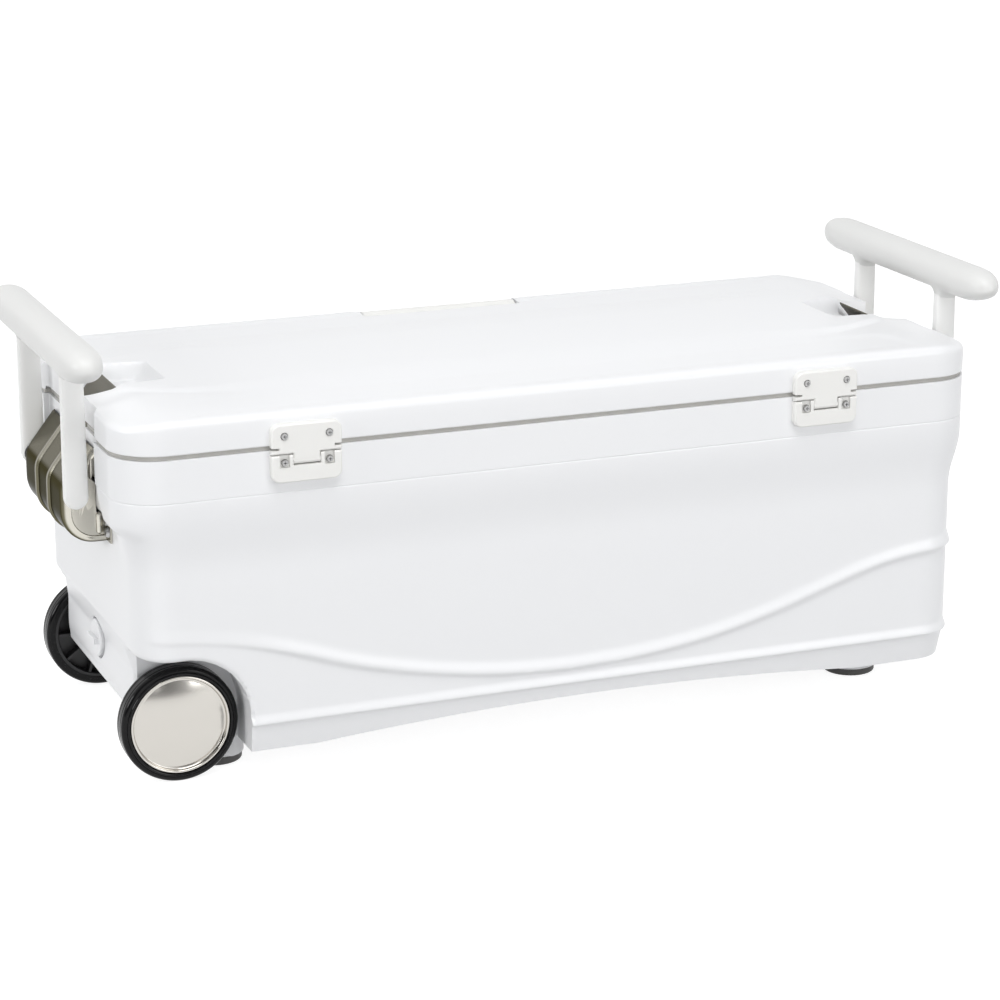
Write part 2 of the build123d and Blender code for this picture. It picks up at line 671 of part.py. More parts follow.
# Hinges: lid leaf with a knuckle tongue, body leaf as a U round it, and the pin
hinge_split_z = lid_z - lid_gap / 2 - hinge_lap
notch_z = lid_z - lid_gap / 2
for name, side in (("rear", -1), ("front", 1)):
    centre_x = side * hinge_x
    leaf_face = Plane((centre_x, hinge_face_y, 0), x_dir=(1, 0, 0), z_dir=(0, -1, 0))
    tongue_half = knuckle_width / 2
    with BuildPart() as lid_leaf:
        with BuildSketch(leaf_face) as upper_leaf:
            with Locations((0, (hinge_bottom_z + hinge_top_z) / 2)):
                RectangleRounded(hinge_width, hinge_top_z - hinge_bottom_z, hinge_corner)
            with Locations((0, hinge_split_z + hinge_split - lid_height)):
                Rectangle(hinge_width + 2, 2 * lid_height, mode=Mode.SUBTRACT)
            with Locations((0, (hinge_pin_z + hinge_top_z) / 2 - hinge_corner)):
                Rectangle(knuckle_width, hinge_top_z - hinge_pin_z - 2 * hinge_corner)
        extrude(upper_leaf.sketch, amount=-hinge_proud)
        chamfer(faces().filter_by(Axis.Y).sort_by(Axis.Y)[0].outer_wire().edges(), hinge_edge)
        rod((hinge_pin_y, hinge_pin_z), "X", knuckle_radius, centre_x - tongue_half,
            centre_x + tongue_half)
        span_box((centre_x - hinge_width, centre_x + hinge_width),
                 (hinge_pin_y, -side_y + 1), (hinge_bottom_z, hinge_pin_z), Mode.SUBTRACT)
        rod((hinge_pin_y, hinge_pin_z), "X", knuckle_radius, centre_x - tongue_half,
            centre_x + tongue_half)
        span_box((centre_x - hinge_width, centre_x + hinge_width),
                 (-side_y - knuckle_gap, -side_y + 1),
                 (hinge_bottom_z, lid_z), Mode.SUBTRACT)
        rod((hinge_pin_y, hinge_pin_z), "X", hinge_pin_radius + running_gap,
            centre_x - hinge_width, centre_x + hinge_width, Mode.SUBTRACT)
        for step in (-1, 1):
            spot = (centre_x + step * hinge_screw_x, lid_screw_z)
            rod(spot, "Y", screw_radius + running_gap, hinge_face_y, -side_y + 1, Mode.SUBTRACT)
            rod(spot, "Y", screw_head_radius + seat_gap, hinge_face_y - 1,
                hinge_face_y + screw_sink, Mode.SUBTRACT)
            notch = sorted((centre_x + step * hinge_width,
                            centre_x + step * (hinge_width / 2 - hinge_notch)))
            span_box(notch, (hinge_face_y - 1, -side_y + 1),
                     (notch_z - hinge_notch_height / 2, notch_z + hinge_notch_height / 2),
                     Mode.SUBTRACT)
    save(lid_leaf, f"hinge_lid_leaf_{name}")

    with BuildPart() as body_leaf:
        with BuildSketch(leaf_face) as lower_leaf:
            with Locations((0, (hinge_bottom_z + hinge_top_z) / 2)):
                RectangleRounded(hinge_width, hinge_top_z - hinge_bottom_z, hinge_corner)
            with Locations((0, hinge_split_z - hinge_split + lid_height)):
                Rectangle(hinge_width + 2, 2 * lid_height, mode=Mode.SUBTRACT)
        extrude(lower_leaf.sketch, amount=-hinge_proud)
        chamfer(faces().filter_by(Axis.Y).sort_by(Axis.Y)[0].outer_wire().edges(), hinge_edge)
        slot_half = tongue_half + knuckle_gap
        span_box((centre_x - slot_half, centre_x + slot_half),
                 (hinge_face_y - 1, -side_y + 1),
                 (hinge_pin_z - knuckle_radius - 2 * knuckle_gap, hinge_top_z), Mode.SUBTRACT)
        rod((hinge_pin_y, hinge_pin_z), "X", hinge_pin_radius + running_gap,
            centre_x - hinge_pin_length / 2, centre_x + hinge_pin_length / 2, Mode.SUBTRACT)
        for step in (-1, 1):
            spot = (centre_x + step * hinge_screw_x, body_screw_z)
            rod(spot, "Y", screw_radius + running_gap, hinge_face_y, -side_y + 1, Mode.SUBTRACT)
            span_box((spot[0] - screw_pocket, spot[0] + screw_pocket),
                     (hinge_face_y - 1, hinge_face_y + screw_sink),
                     (body_screw_z - screw_pocket, hinge_top_z), Mode.SUBTRACT)
    save(body_leaf, f"hinge_body_leaf_{name}")

with BuildPart() as hinge_pins:
    for side in (-1, 1):
        rod((hinge_pin_y, hinge_pin_z), "X", hinge_pin_radius,
            side * hinge_x - hinge_pin_length / 2, side * hinge_x + hinge_pin_length / 2)
save(hinge_pins, "hinge_pins")

for name, points in (("hinge_lid_screws", lid_screw_points),
                     ("hinge_body_screws", body_screw_points)):
    with BuildPart() as hinge_screws:
        for x, z in points:
            screw((x, hinge_screw_y, z), (0, -1, 0))
    save(hinge_screws, name)

# Latch lever on the lid, its pin, and the keeper on the rim
latch_half = latch_width / 2
plate_back_y = side_y + latch_plate_gap
with BuildPart() as latch_lever:
    rod((latch_axis_y, latch_axis_z), "X", latch_barrel_radius, -latch_half, latch_half)
    span_box((-latch_half, latch_half), (plate_back_y, plate_back_y + latch_plate),
             (latch_bottom_z, latch_axis_z))
    span_box((-latch_half, latch_half), (latch_axis_y, plate_back_y + latch_plate),
             (lid_z + latch_plate_gap, latch_axis_z))
    with BuildSketch(Plane.YZ.offset(-latch_half)) as pull:
        with BuildLine():
            Polyline((plate_back_y + latch_plate, latch_bottom_z),
                     (latch_face_y, latch_bottom_z),
                     (latch_face_y, latch_bottom_z + latch_pull_height),
                     (plate_back_y + latch_plate, latch_bottom_z + 3 * latch_pull_height),
                     close=True)
        make_face()
    extrude(pull.sketch, amount=latch_width)
    span_box((-keeper_width / 2, keeper_width / 2), (plate_back_y - 1, plate_back_y + keeper_proud),
             (keeper_z - keeper_height, keeper_z + keeper_height), Mode.SUBTRACT)
    rod((latch_axis_y, latch_axis_z), "X", latch_pin_radius + running_gap, -latch_half,
        latch_half, Mode.SUBTRACT)
    fillet(edges().filter_by(Axis.Y).group_by(Axis.Z)[0], latch_pull_height / 2)
save(latch_lever, "latch_lever")

with BuildPart() as latch_pin:
    rod((latch_axis_y, latch_axis_z), "X", latch_pin_radius, -pin_half, pin_half)
save(latch_pin, "latch_pin")

with BuildPart() as latch_keeper:
    span_box((-keeper_width / 2, keeper_width / 2), (side_y - keeper_seat, side_y + keeper_proud),
             (keeper_z - keeper_height / 2, keeper_z + keeper_height / 2))
    for step in (-1, 1):
        spot = (step * keeper_screw_x, keeper_z)
        rod(spot, "Y", screw_head_radius + seat_gap, side_y - keeper_seat - 1, side_y + 2,
            Mode.SUBTRACT)
save(latch_keeper, "latch_keeper")

with BuildPart() as keeper_screws:
    for step in (-1, 1):
        screw((step * keeper_screw_x, keeper_screw_y, keeper_z), (0, 1, 0))
save(keeper_screws, "keeper_screws")

# Handle bracket at the front end: folded sheet with cheeks, beads and a tongue
bracket_x = lid_half + bracket_reach
tongue_x = lid_half - tongue_inset
tongue_z = lid_top - tongue_drop
slope_run = bracket_x - tongue_x
slope_rise = tongue_z - bracket_knee_z
slope_angle = atan2(slope_rise, slope_run)
cheek_top_x = bracket_x - (bracket_cheek_top_z - bracket_knee_z) * slope_run / slope_rise
wall_low_x = recess_x + bracket_wall_gap
wall_high_x = bay_x + bracket_wall_gap
leg_x = lid_half + leg_offset


def web_profile(grow):
    """Side outline of the bracket's web and cheeks, grown outwards by grow."""
    top_x = cheek_top_x + grow * sin(slope_angle)
    top_z = bracket_cheek_top_z + grow * cos(slope_angle)
    knee_z = bracket_knee_z + grow * (1 - cos(slope_angle)) / sin(slope_angle)
    foot_z = bracket_bottom_z + bracket_foot_radius
    foot_x = bracket_x - bracket_foot_radius
    Line((wall_high_x, top_z), (top_x, top_z))
    Line((top_x, top_z), (bracket_x + grow, knee_z))
    Line((bracket_x + grow, knee_z), (bracket_x + grow, foot_z))
    RadiusArc((bracket_x + grow, foot_z), (foot_x, bracket_bottom_z - grow),
              bracket_foot_radius + grow)
    Polyline((foot_x, bracket_bottom_z - grow), (wall_low_x, bracket_bottom_z - grow),
             (wall_low_x, flange_top_z), (wall_high_x, end_recess_top - bracket_wall_gap),
             (wall_high_x, top_z))


with BuildPart() as bracket_front:
    with BuildSketch(Plane.XZ) as bracket_side:
        with BuildLine():
            web_profile(0.0)
        make_face()
    extrude(bracket_side.sketch, amount=bracket_half_width, both=True)
    for bead in (-1, 1):
        with BuildSketch(Plane.XZ.offset(bead * bead_y)) as bead_side:
            with BuildLine():
                web_profile(bead_rise)
            make_face()
        extrude(bead_side.sketch, amount=bead_width / 2, both=True)
    with BuildSketch(Plane.XZ) as bracket_room:
        with BuildLine():
            room_top = bracket_cheek_top_z + bracket_sheet
            room_top_x = cheek_top_x - bracket_sheet / sin(slope_angle)
            room_foot_z = bracket_bottom_z + bracket_foot_radius
            room_foot_x = bracket_x - bracket_foot_radius
            room_knee_z = bracket_knee_z - bracket_sheet * (1 - cos(slope_angle)) / sin(slope_angle)
            Polyline((recess_x - 1, room_top), (room_top_x - bracket_sheet, room_top),
                     (room_top_x, bracket_cheek_top_z),
                     (bracket_x - bracket_sheet, room_knee_z),
                     (bracket_x - bracket_sheet, room_foot_z))
            RadiusArc((bracket_x - bracket_sheet, room_foot_z),
                      (room_foot_x, bracket_bottom_z + bracket_sheet),
                      bracket_foot_radius - bracket_sheet)
            Polyline((room_foot_x, bracket_bottom_z + bracket_sheet),
                     (recess_x - 1, bracket_bottom_z + bracket_sheet), (recess_x - 1, room_top))
        make_face()
    extrude(bracket_room.sketch, amount=bracket_half_width - bracket_sheet, both=True,
            mode=Mode.SUBTRACT)
    # Tongue up the slope into the lid slot, with a hemmed edge
    slope_dir = Vector(-cos(slope_angle), 0, sin(slope_angle))
    slope_plane = Plane((tongue_x, 0, tongue_z), x_dir=(0, 1, 0),
                        z_dir=(sin(slope_angle), 0, cos(slope_angle)))
    tongue_run = (tongue_z - bracket_cheek_top_z) / sin(slope_angle) + bracket_sheet
    with BuildSketch(slope_plane) as tongue:
        with Locations((0, -tongue_run / 2)):
            Rectangle(tongue_width, tongue_run)
    extrude(tongue.sketch, amount=-bracket_sheet)
    with BuildSketch(slope_plane) as hem:
        with Locations((0, -tongue_hem)):
            Rectangle(tongue_width, 2 * tongue_hem)
    extrude(hem.sketch, amount=-tongue_hem)
    for cheek in (-1, 1):
        flange = sorted((cheek * (bracket_half_width - bracket_sheet),
                         cheek * (bracket_half_width + flange_width)))
        span_box((wall_low_x, wall_low_x + bracket_sheet), flange,
                 (bracket_bottom_z, flange_top_z))
        bolt_y = cheek * (bracket_half_width + flange_width / 2)
        for level in (bolt_low, bolt_high):
            rod((bolt_y, bracket_bottom_z + level), "X", bolt_radius + running_gap,
                recess_x - 1, recess_x + 2 * bracket_sheet, Mode.SUBTRACT)
    rod((leg_x, handle_pivot_z), "Y", pivot_radius + running_gap, -lid_width, lid_width,
        Mode.SUBTRACT)
save(bracket_front, "bracket_front")

with BuildPart() as bracket_rear:
    mirror(bracket_front.part, about=Plane.YZ)
save(bracket_rear, "bracket_rear")

with BuildPart() as bracket_bolts_front:
    for cheek in (-1, 1):
        bolt_y = cheek * (bracket_half_width + flange_width / 2)
        for level in (bolt_low, bolt_high):
            spot = (bolt_y, bracket_bottom_z + level)
            head_x = wall_low_x + bracket_sheet
            rod(spot, "X", bolt_radius, recess_x - bolt_length, head_x)
            rod(spot, "X", bolt_head_radius, head_x, head_x + bolt_head_height)
save(bracket_bolts_front, "bracket_bolts_front")

with BuildPart() as bracket_bolts_rear:
    mirror(bracket_bolts_front.part, about=Plane.YZ)
save(bracket_bolts_rear, "bracket_bolts_rear")

# Handle at the front end: two legs, the grip, pivot rivets and friction washers
leg_inner_y = bracket_half_width + leg_washer
leg_outer_y = leg_inner_y + leg_thickness
leg_top_z = grip_z - grip_height / 2 + leg_socket_depth
with BuildPart() as legs_front:
    for cheek in (-1, 1):
        with BuildSketch(Plane.XZ.offset(-cheek * leg_inner_y)) as leg:
            with Locations((leg_x, handle_pivot_z)):
                Circle(leg_width / 2)
            with Locations((leg_x, (handle_pivot_z + leg_top_z) / 2)):
                Rectangle(leg_width, leg_top_z - handle_pivot_z)
        extrude(leg.sketch, amount=-cheek * leg_thickness)
    rounded = [edge for face in faces().filter_by(Axis.Y) for edge in face.edges()
               if edge.center().Z < leg_top_z - 1]
    fillet(rounded, leg_edge)
    for cheek in (-1, 1):
        ends = sorted((cheek * (leg_inner_y - 1), cheek * (leg_inner_y + pivot_depth)))
        rod((leg_x, handle_pivot_z), "Y", pivot_radius + running_gap, ends[0], ends[1],
            Mode.SUBTRACT)
save(legs_front, "handle_legs_front")

with BuildPart() as legs_rear:
    mirror(legs_front.part, about=Plane.YZ)
save(legs_rear, "handle_legs_rear")

grip_x = lid_half + grip_offset
nose_shares = ((0.0, 1.0), (0.35, 0.96), (0.65, 0.84), (0.86, 0.65), (1.0, 0.38))
grip_body = grip_length / 2 - grip_nose
with BuildPart() as grip_front:
    stations = [(-grip_body - grip_nose * along, size) for along, size in reversed(nose_shares)]
    stations += [(grip_body + grip_nose * along, size) for along, size in nose_shares]
    rings = []
    for y, size in stations:
        with BuildSketch(Plane.XZ.offset(-y)) as ring:
            with Locations((grip_x, grip_z)):
                Ellipse(grip_width / 2 * size, grip_height / 2 * size)
        rings.append(ring.sketch)
    loft(rings, ruled=True)
    for cheek in (-1, 1):
        socket = sorted((cheek * (leg_inner_y - seat_gap), cheek * (leg_outer_y + seat_gap)))
        half = leg_width / 2 + seat_gap
        span_box((leg_x - half, leg_x + half), socket,
                 (grip_z - grip_height, leg_top_z + seat_gap), Mode.SUBTRACT)
save(grip_front, "handle_grip_front")

with BuildPart() as grip_rear:
    mirror(grip_front.part, about=Plane.YZ)
save(grip_rear, "handle_grip_rear")

with BuildPart() as pivots_front:
    for cheek in (-1, 1):
        cheek_in = bracket_half_width - bracket_sheet
        shank = sorted((cheek * cheek_in, cheek * (leg_inner_y + pivot_depth - running_gap)))
        head = sorted((cheek * (cheek_in - pivot_head_height), cheek * cheek_in))
        rod((leg_x, handle_pivot_z), "Y", pivot_radius, shank[0], shank[1])
        rod((leg_x, handle_pivot_z), "Y", pivot_head_radius, head[0], head[1])
save(pivots_front, "handle_pivots_front")

with BuildPart() as pivots_rear:
    mirror(pivots_front.part, about=Plane.YZ)
save(pivots_rear, "handle_pivots_rear")

with BuildPart() as washers_front:
    for cheek in (-1, 1):
        ring = sorted((cheek * bracket_half_width, cheek * leg_inner_y))
        rod((leg_x, handle_pivot_z), "Y", washer_radius, ring[0], ring[1])
        rod((leg_x, handle_pivot_z), "Y", pivot_radius + running_gap, ring[0], ring[1],
            Mode.SUBTRACT)
save(washers_front, "handle_washers_front")

with BuildPart() as washers_rear:
    mirror(washers_front.part, about=Plane.YZ)
save(washers_rear, "handle_washers_rear")

# Wheels on the latch side (+Y), mirrored to the hinge side
wheel_inner_y = wheel_outer_y - wheel_width
rim_radius = wheel_radius - tyre_depth
wheel_axis = Axis((wheel_x, 0, wheel_z), (0, 1, 0))
hub_face_y = wheel_outer_y - hubcap_inset - hubcap_sheet - hubcap_dish
boss_end_y = wheel_outer_y - axle_end_gap
hub_inner_y = wheel_inner_y + 1.0


def wheel_ring(points):
    """Revolve a closed outline of (radius, y) points about the wheel axis."""
    with BuildSketch(Plane.XY) as section:
        with BuildLine():
            Polyline(*[(wheel_x + radius, y) for radius, y in points], close=True)
        make_face()
    return section.sketch.moved(Location((0, 0, wheel_z)))


with BuildPart() as tyre_latch_side:
    tyre_mid = (wheel_inner_y + wheel_outer_y) / 2
    outline = wheel_ring([
        (rim_radius, wheel_inner_y), (wheel_radius - tyre_shoulder, wheel_inner_y),
        (wheel_radius - tyre_lip, wheel_inner_y + tyre_shoulder / 2),
        (wheel_radius, wheel_inner_y + tyre_shoulder),
        (wheel_radius, wheel_outer_y - tyre_shoulder),
        (wheel_radius - tyre_lip, wheel_outer_y - tyre_shoulder / 2),
        (wheel_radius - tyre_shoulder, wheel_outer_y), (rim_radius, wheel_outer_y)])
    revolve(outline, axis=wheel_axis)
save(tyre_latch_side, "wheel_tyre_latch_side")

with BuildPart() as hub_latch_side:
    seat = rim_radius - running_gap
    web_y = hub_face_y - hub_web
    outline = wheel_ring([
        (axle_radius + running_gap, hub_inner_y), (hub_boss_radius, hub_inner_y),
        (hub_boss_radius, web_y), (seat - hub_rim, web_y), (seat - hub_rim, hub_inner_y),
        (seat, hub_inner_y), (seat, hub_face_y), (hub_boss_radius, hub_face_y),
        (hub_boss_radius, boss_end_y - clip_thickness - clip_seat - 1),
        (axle_radius + running_gap, boss_end_y - clip_thickness - clip_seat - 1)])
    revolve(outline, axis=wheel_axis)
    rib_mid = (hub_boss_radius + seat - hub_rim) / 2
    rib_length = seat - hub_rim - hub_boss_radius + 2
    wheel_face = Plane((wheel_x, hub_inner_y + 2, wheel_z), x_dir=(1, 0, 0), z_dir=(0, 1, 0))
    with BuildSketch(wheel_face) as hub_ribs:
        for turn in range(hub_rib_count):
            angle = radians(360 / hub_rib_count * turn)
            with Locations(Location((rib_mid * cos(angle), rib_mid * sin(angle)),
                                    degrees(angle))):
                Rectangle(rib_length, hub_rib_width)
    extrude(hub_ribs.sketch, amount=web_y - hub_inner_y - 1)
save(hub_latch_side, "wheel_hub_latch_side")

with BuildPart() as hubcap_latch_side:
    cap_radius = rim_radius - running_gap
    face_y = wheel_outer_y - hubcap_inset
    dish_y = face_y - hubcap_dish
    back_y = dish_y - hubcap_sheet
    outline = wheel_ring([
        (0, dish_y + hubcap_dish / 2), (cap_radius / 2, dish_y + hubcap_dish / 3),
        (cap_radius - 3 * hubcap_lip, dish_y), (cap_radius - 2 * hubcap_lip, face_y - hubcap_lip),
        (cap_radius - hubcap_lip, face_y), (cap_radius, face_y - hubcap_sheet),
        (cap_radius, back_y + seat_gap), (cap_radius - hubcap_sheet, back_y + seat_gap),
        (cap_radius - hubcap_lip, face_y - 2 * hubcap_sheet),
        (cap_radius - 3 * hubcap_lip, back_y + seat_gap),
        (cap_radius / 2, back_y + hubcap_dish / 3), (0, back_y + hubcap_dish / 2)])
    revolve(outline, axis=wheel_axis)
save(hubcap_latch_side, "hubcap_latch_side")

for kind, source in (("wheel_tyre", tyre_latch_side), ("wheel_hub", hub_latch_side),
                     ("hubcap", hubcap_latch_side)):
    with BuildPart() as hinge_side_copy:
        mirror(source.part, about=Plane.XZ)
    save(hinge_side_copy, f"{kind}_hinge_side")

# Axle through its sleeve, with spacers inside and clips outside the wheels
with BuildPart() as axle:
    rod((wheel_x, wheel_z), "Y", axle_radius, -boss_end_y, boss_end_y)
save(axle, "axle")

with BuildPart() as axle_sleeve:
    rod((wheel_x, wheel_z), "Y", axle_radius + sleeve_wall, -well_y, well_y)
    rod((wheel_x, wheel_z), "Y", axle_radius + running_gap, -well_y, well_y, Mode.SUBTRACT)
save(axle_sleeve, "axle_sleeve")

with BuildPart() as axle_spacers:
    for side in (-1, 1):
        ends = sorted((side * well_y, side * (hub_inner_y - seat_gap)))
        rod((wheel_x, wheel_z), "Y", spacer_radius, ends[0], ends[1])
        rod((wheel_x, wheel_z), "Y", axle_radius + running_gap, ends[0], ends[1],
            Mode.SUBTRACT)
save(axle_spacers, "axle_spacers")

with BuildPart() as axle_clips:
    clip_y = boss_end_y - clip_thickness - 1
    for side in (-1, 1):
        ends = sorted((side * clip_y, side * (clip_y + clip_thickness)))
        rod((wheel_x, wheel_z), "Y", clip_radius, ends[0], ends[1])
        rod((wheel_x, wheel_z), "Y", axle_radius + running_gap, ends[0], ends[1],
            Mode.SUBTRACT)
save(axle_clips, "axle_clips")

# Foot bosses under the belly, rubber feet and their screws
with BuildPart() as foot_bosses:
    for x, y in foot_points:
        rod((x, y), "Z", foot_boss_radius, foot_pad_height, belly_z)
    cut_wheel_wells()
    for x, y in foot_points:
        rod((x, y), "Z", foot_screw_radius + running_gap, 0, belly_z, Mode.SUBTRACT)
save(foot_bosses, "foot_bosses")

with BuildPart() as foot_pads:
    for x, y in foot_points:
        rod((x, y), "Z", foot_radius, 0, foot_pad_height)
    fillet(edges().filter_by(GeomType.CIRCLE).group_by(Axis.Z)[0], foot_pad_height / 4)
    for x, y in foot_points:
        rod((x, y), "Z", foot_screw_radius + running_gap, -1, foot_pad_height + 1, Mode.SUBTRACT)
        rod((x, y), "Z", foot_screw_head + seat_gap, -1, foot_screw_sink, Mode.SUBTRACT)
save(foot_pads, "foot_pads")

with BuildPart() as foot_screws:
    for x, y in foot_points:
        rod((x, y), "Z", foot_screw_head, foot_screw_sink - foot_screw_head_height,
            foot_screw_sink)
        rod((x, y), "Z", foot_screw_radius, foot_screw_sink, foot_screw_length)
save(foot_screws, "foot_screws")

# Drain at the tail: tube from the liner step to the outside, seal and screw plug
with BuildPart() as drain_tube:
    rod((0, drain_z), "X", drain_tube_radius + drain_tube_wall, drain_face_x, step_x)
    rod((0, drain_z), "X", drain_flange_radius, drain_face_x - drain_flange, drain_face_x)
    rod((0, drain_z), "X", drain_tube_radius, drain_face_x - drain_flange, step_x, Mode.SUBTRACT)
save(drain_tube, "drain_tube")

seal_x = drain_face_x - drain_flange
with BuildPart() as drain_gasket:
    rod((0, drain_z), "X", drain_seal_radius, seal_x - drain_seal, seal_x)
    rod((0, drain_z), "X", drain_tube_radius, seal_x - drain_seal, seal_x, Mode.SUBTRACT)
save(drain_gasket, "drain_gasket")

head_x = seal_x - drain_seal
with BuildPart() as drain_plug:
    rod((0, drain_z), "X", drain_head_radius, head_x - drain_head, head_x)
    fillet(edges().filter_by(GeomType.CIRCLE).sort_by(Axis.X)[0], drain_head / 3)
    rod((0, drain_z), "X", drain_tube_radius - drain_stem_gap, head_x, head_x + drain_stem)
    span_box((head_x - drain_head - drain_bar_height, head_x - drain_head),
             (-drain_head_radius * 0.7, drain_head_radius * 0.7),
             (drain_z - drain_bar_width / 2, drain_z + drain_bar_width / 2))
save(drain_plug, "drain_plug")
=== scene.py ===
"""Looks of a long white wheeled cooler: moulded shell and lid, folding handles, steel fittings."""

import logging
import math
from dataclasses import dataclass
from enum import Enum
from typing import Any, Optional, Sequence

import bmesh
import bpy
import numpy as np
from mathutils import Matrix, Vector


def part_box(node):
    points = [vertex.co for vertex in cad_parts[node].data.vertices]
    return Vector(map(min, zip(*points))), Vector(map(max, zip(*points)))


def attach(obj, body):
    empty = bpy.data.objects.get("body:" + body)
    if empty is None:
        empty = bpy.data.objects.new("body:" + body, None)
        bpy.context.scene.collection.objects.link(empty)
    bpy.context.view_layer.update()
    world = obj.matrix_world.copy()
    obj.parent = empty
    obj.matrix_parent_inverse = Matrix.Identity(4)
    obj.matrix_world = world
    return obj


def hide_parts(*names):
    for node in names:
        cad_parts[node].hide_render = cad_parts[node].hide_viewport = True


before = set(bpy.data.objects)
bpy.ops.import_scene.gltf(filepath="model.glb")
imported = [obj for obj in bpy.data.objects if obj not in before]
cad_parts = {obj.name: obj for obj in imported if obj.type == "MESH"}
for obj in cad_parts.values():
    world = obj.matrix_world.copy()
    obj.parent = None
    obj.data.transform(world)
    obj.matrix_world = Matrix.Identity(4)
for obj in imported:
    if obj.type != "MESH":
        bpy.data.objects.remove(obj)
LOG = logging.getLogger("cooler")
MM = 0.001
Colour = tuple[float, float, float]
Point = tuple[float, float, float]
Pair = tuple[float, float]
Form = tuple[list[Any], list[Any]]


class End(Enum):
    """The two ends of the chest: wheels at the rear, feet only at the front."""

    REAR = -1
    FRONT = 1


class Side(Enum):
    """The two long sides of the chest."""

    HINGE = -1
    LATCH = 1


class Socket:
    """A node's output that takes Python arithmetic and adds Math nodes for it."""

    def __init__(self, nodes: "Nodes", socket: bpy.types.NodeSocket) -> None:
        """Wrap a socket of a node tree."""
        self.nodes = nodes
        self.socket = socket

    def math(self, operation: str, first: Any, second: Any = 0.0) -> "Socket":
        """Add one Math node.

        Args:
            operation: Blender's name of the operation.
            first: Left value or socket.
            second: Right value or socket.

        Returns:
            The node's result.
        """
        return self.nodes.get("ShaderNodeMath", {"operation": operation}, {0: first, 1: second})

    def __add__(self, other: Any) -> "Socket":
        """Sum."""
        return self.math("ADD", self, other)

    __radd__ = __add__

    def __sub__(self, other: Any) -> "Socket":
        """Difference."""
        return self.math("SUBTRACT", self, other)

    def __rsub__(self, other: Any) -> "Socket":
        """Difference with this socket on the right."""
        return self.math("SUBTRACT", other, self)

    def __mul__(self, other: Any) -> "Socket":
        """Product."""
        return self.math("MULTIPLY", self, other)

    __rmul__ = __mul__

    def __pow__(self, exponent: float) -> "Socket":
        """This socket raised to a power."""
        return self.math("POWER", self, exponent)

    def __abs__(self) -> "Socket":
        """Absolute value."""
        return self.math("ABSOLUTE", self)

    def most(self, other: Any) -> "Socket":
        """The larger of two values."""
        return self.math("MAXIMUM", self, other)


class Nodes:
    """A node tree, with one method that makes every node."""

    def __init__(self, tree: bpy.types.NodeTree) -> None:
        """Start from an empty tree."""
        self.tree = tree
        self.tree.nodes.clear()

    def node(self, kind: str, settings: Optional[dict[str, Any]] = None,
             sockets: Optional[dict[Any, Any]] = None) -> bpy.types.Node:
        """Add a node, set it up and feed its inputs.

        Args:
            kind: Blender's node type.
            settings: Node properties, which are set first.
            sockets: Values, sockets or lists of sockets by input identifier, name or index.

        Returns:
            The new node.
        """
        made = self.tree.nodes.new(kind)
        for key, value in (settings or {}).items():
            setattr(made, key, value)
        for key, value in (sockets or {}).items():
            target = self.find(made.inputs, key)
            for part in value if isinstance(value, list) else [value]:
                if isinstance(part, Socket):
                    self.tree.links.new(part.socket, target)
                else:
                    target.default_value = part
        return made

    def get(self, kind: str, settings: Optional[dict[str, Any]] = None,
            sockets: Optional[dict[Any, Any]] = None, key: Any = 0) -> Socket:
        """Add a node and take one of its outputs, the first if no other is named."""
        return Socket(self, self.find(self.node(kind, settings, sockets).outputs, key))

    @staticmethod
    def find(ends: Any, key: Any) -> bpy.types.NodeSocket:
        """One of a node's inputs or outputs by identifier, name or index."""
        matches = [end for end in ends if end.identifier == key]
        return matches[0] if matches else ends[key]


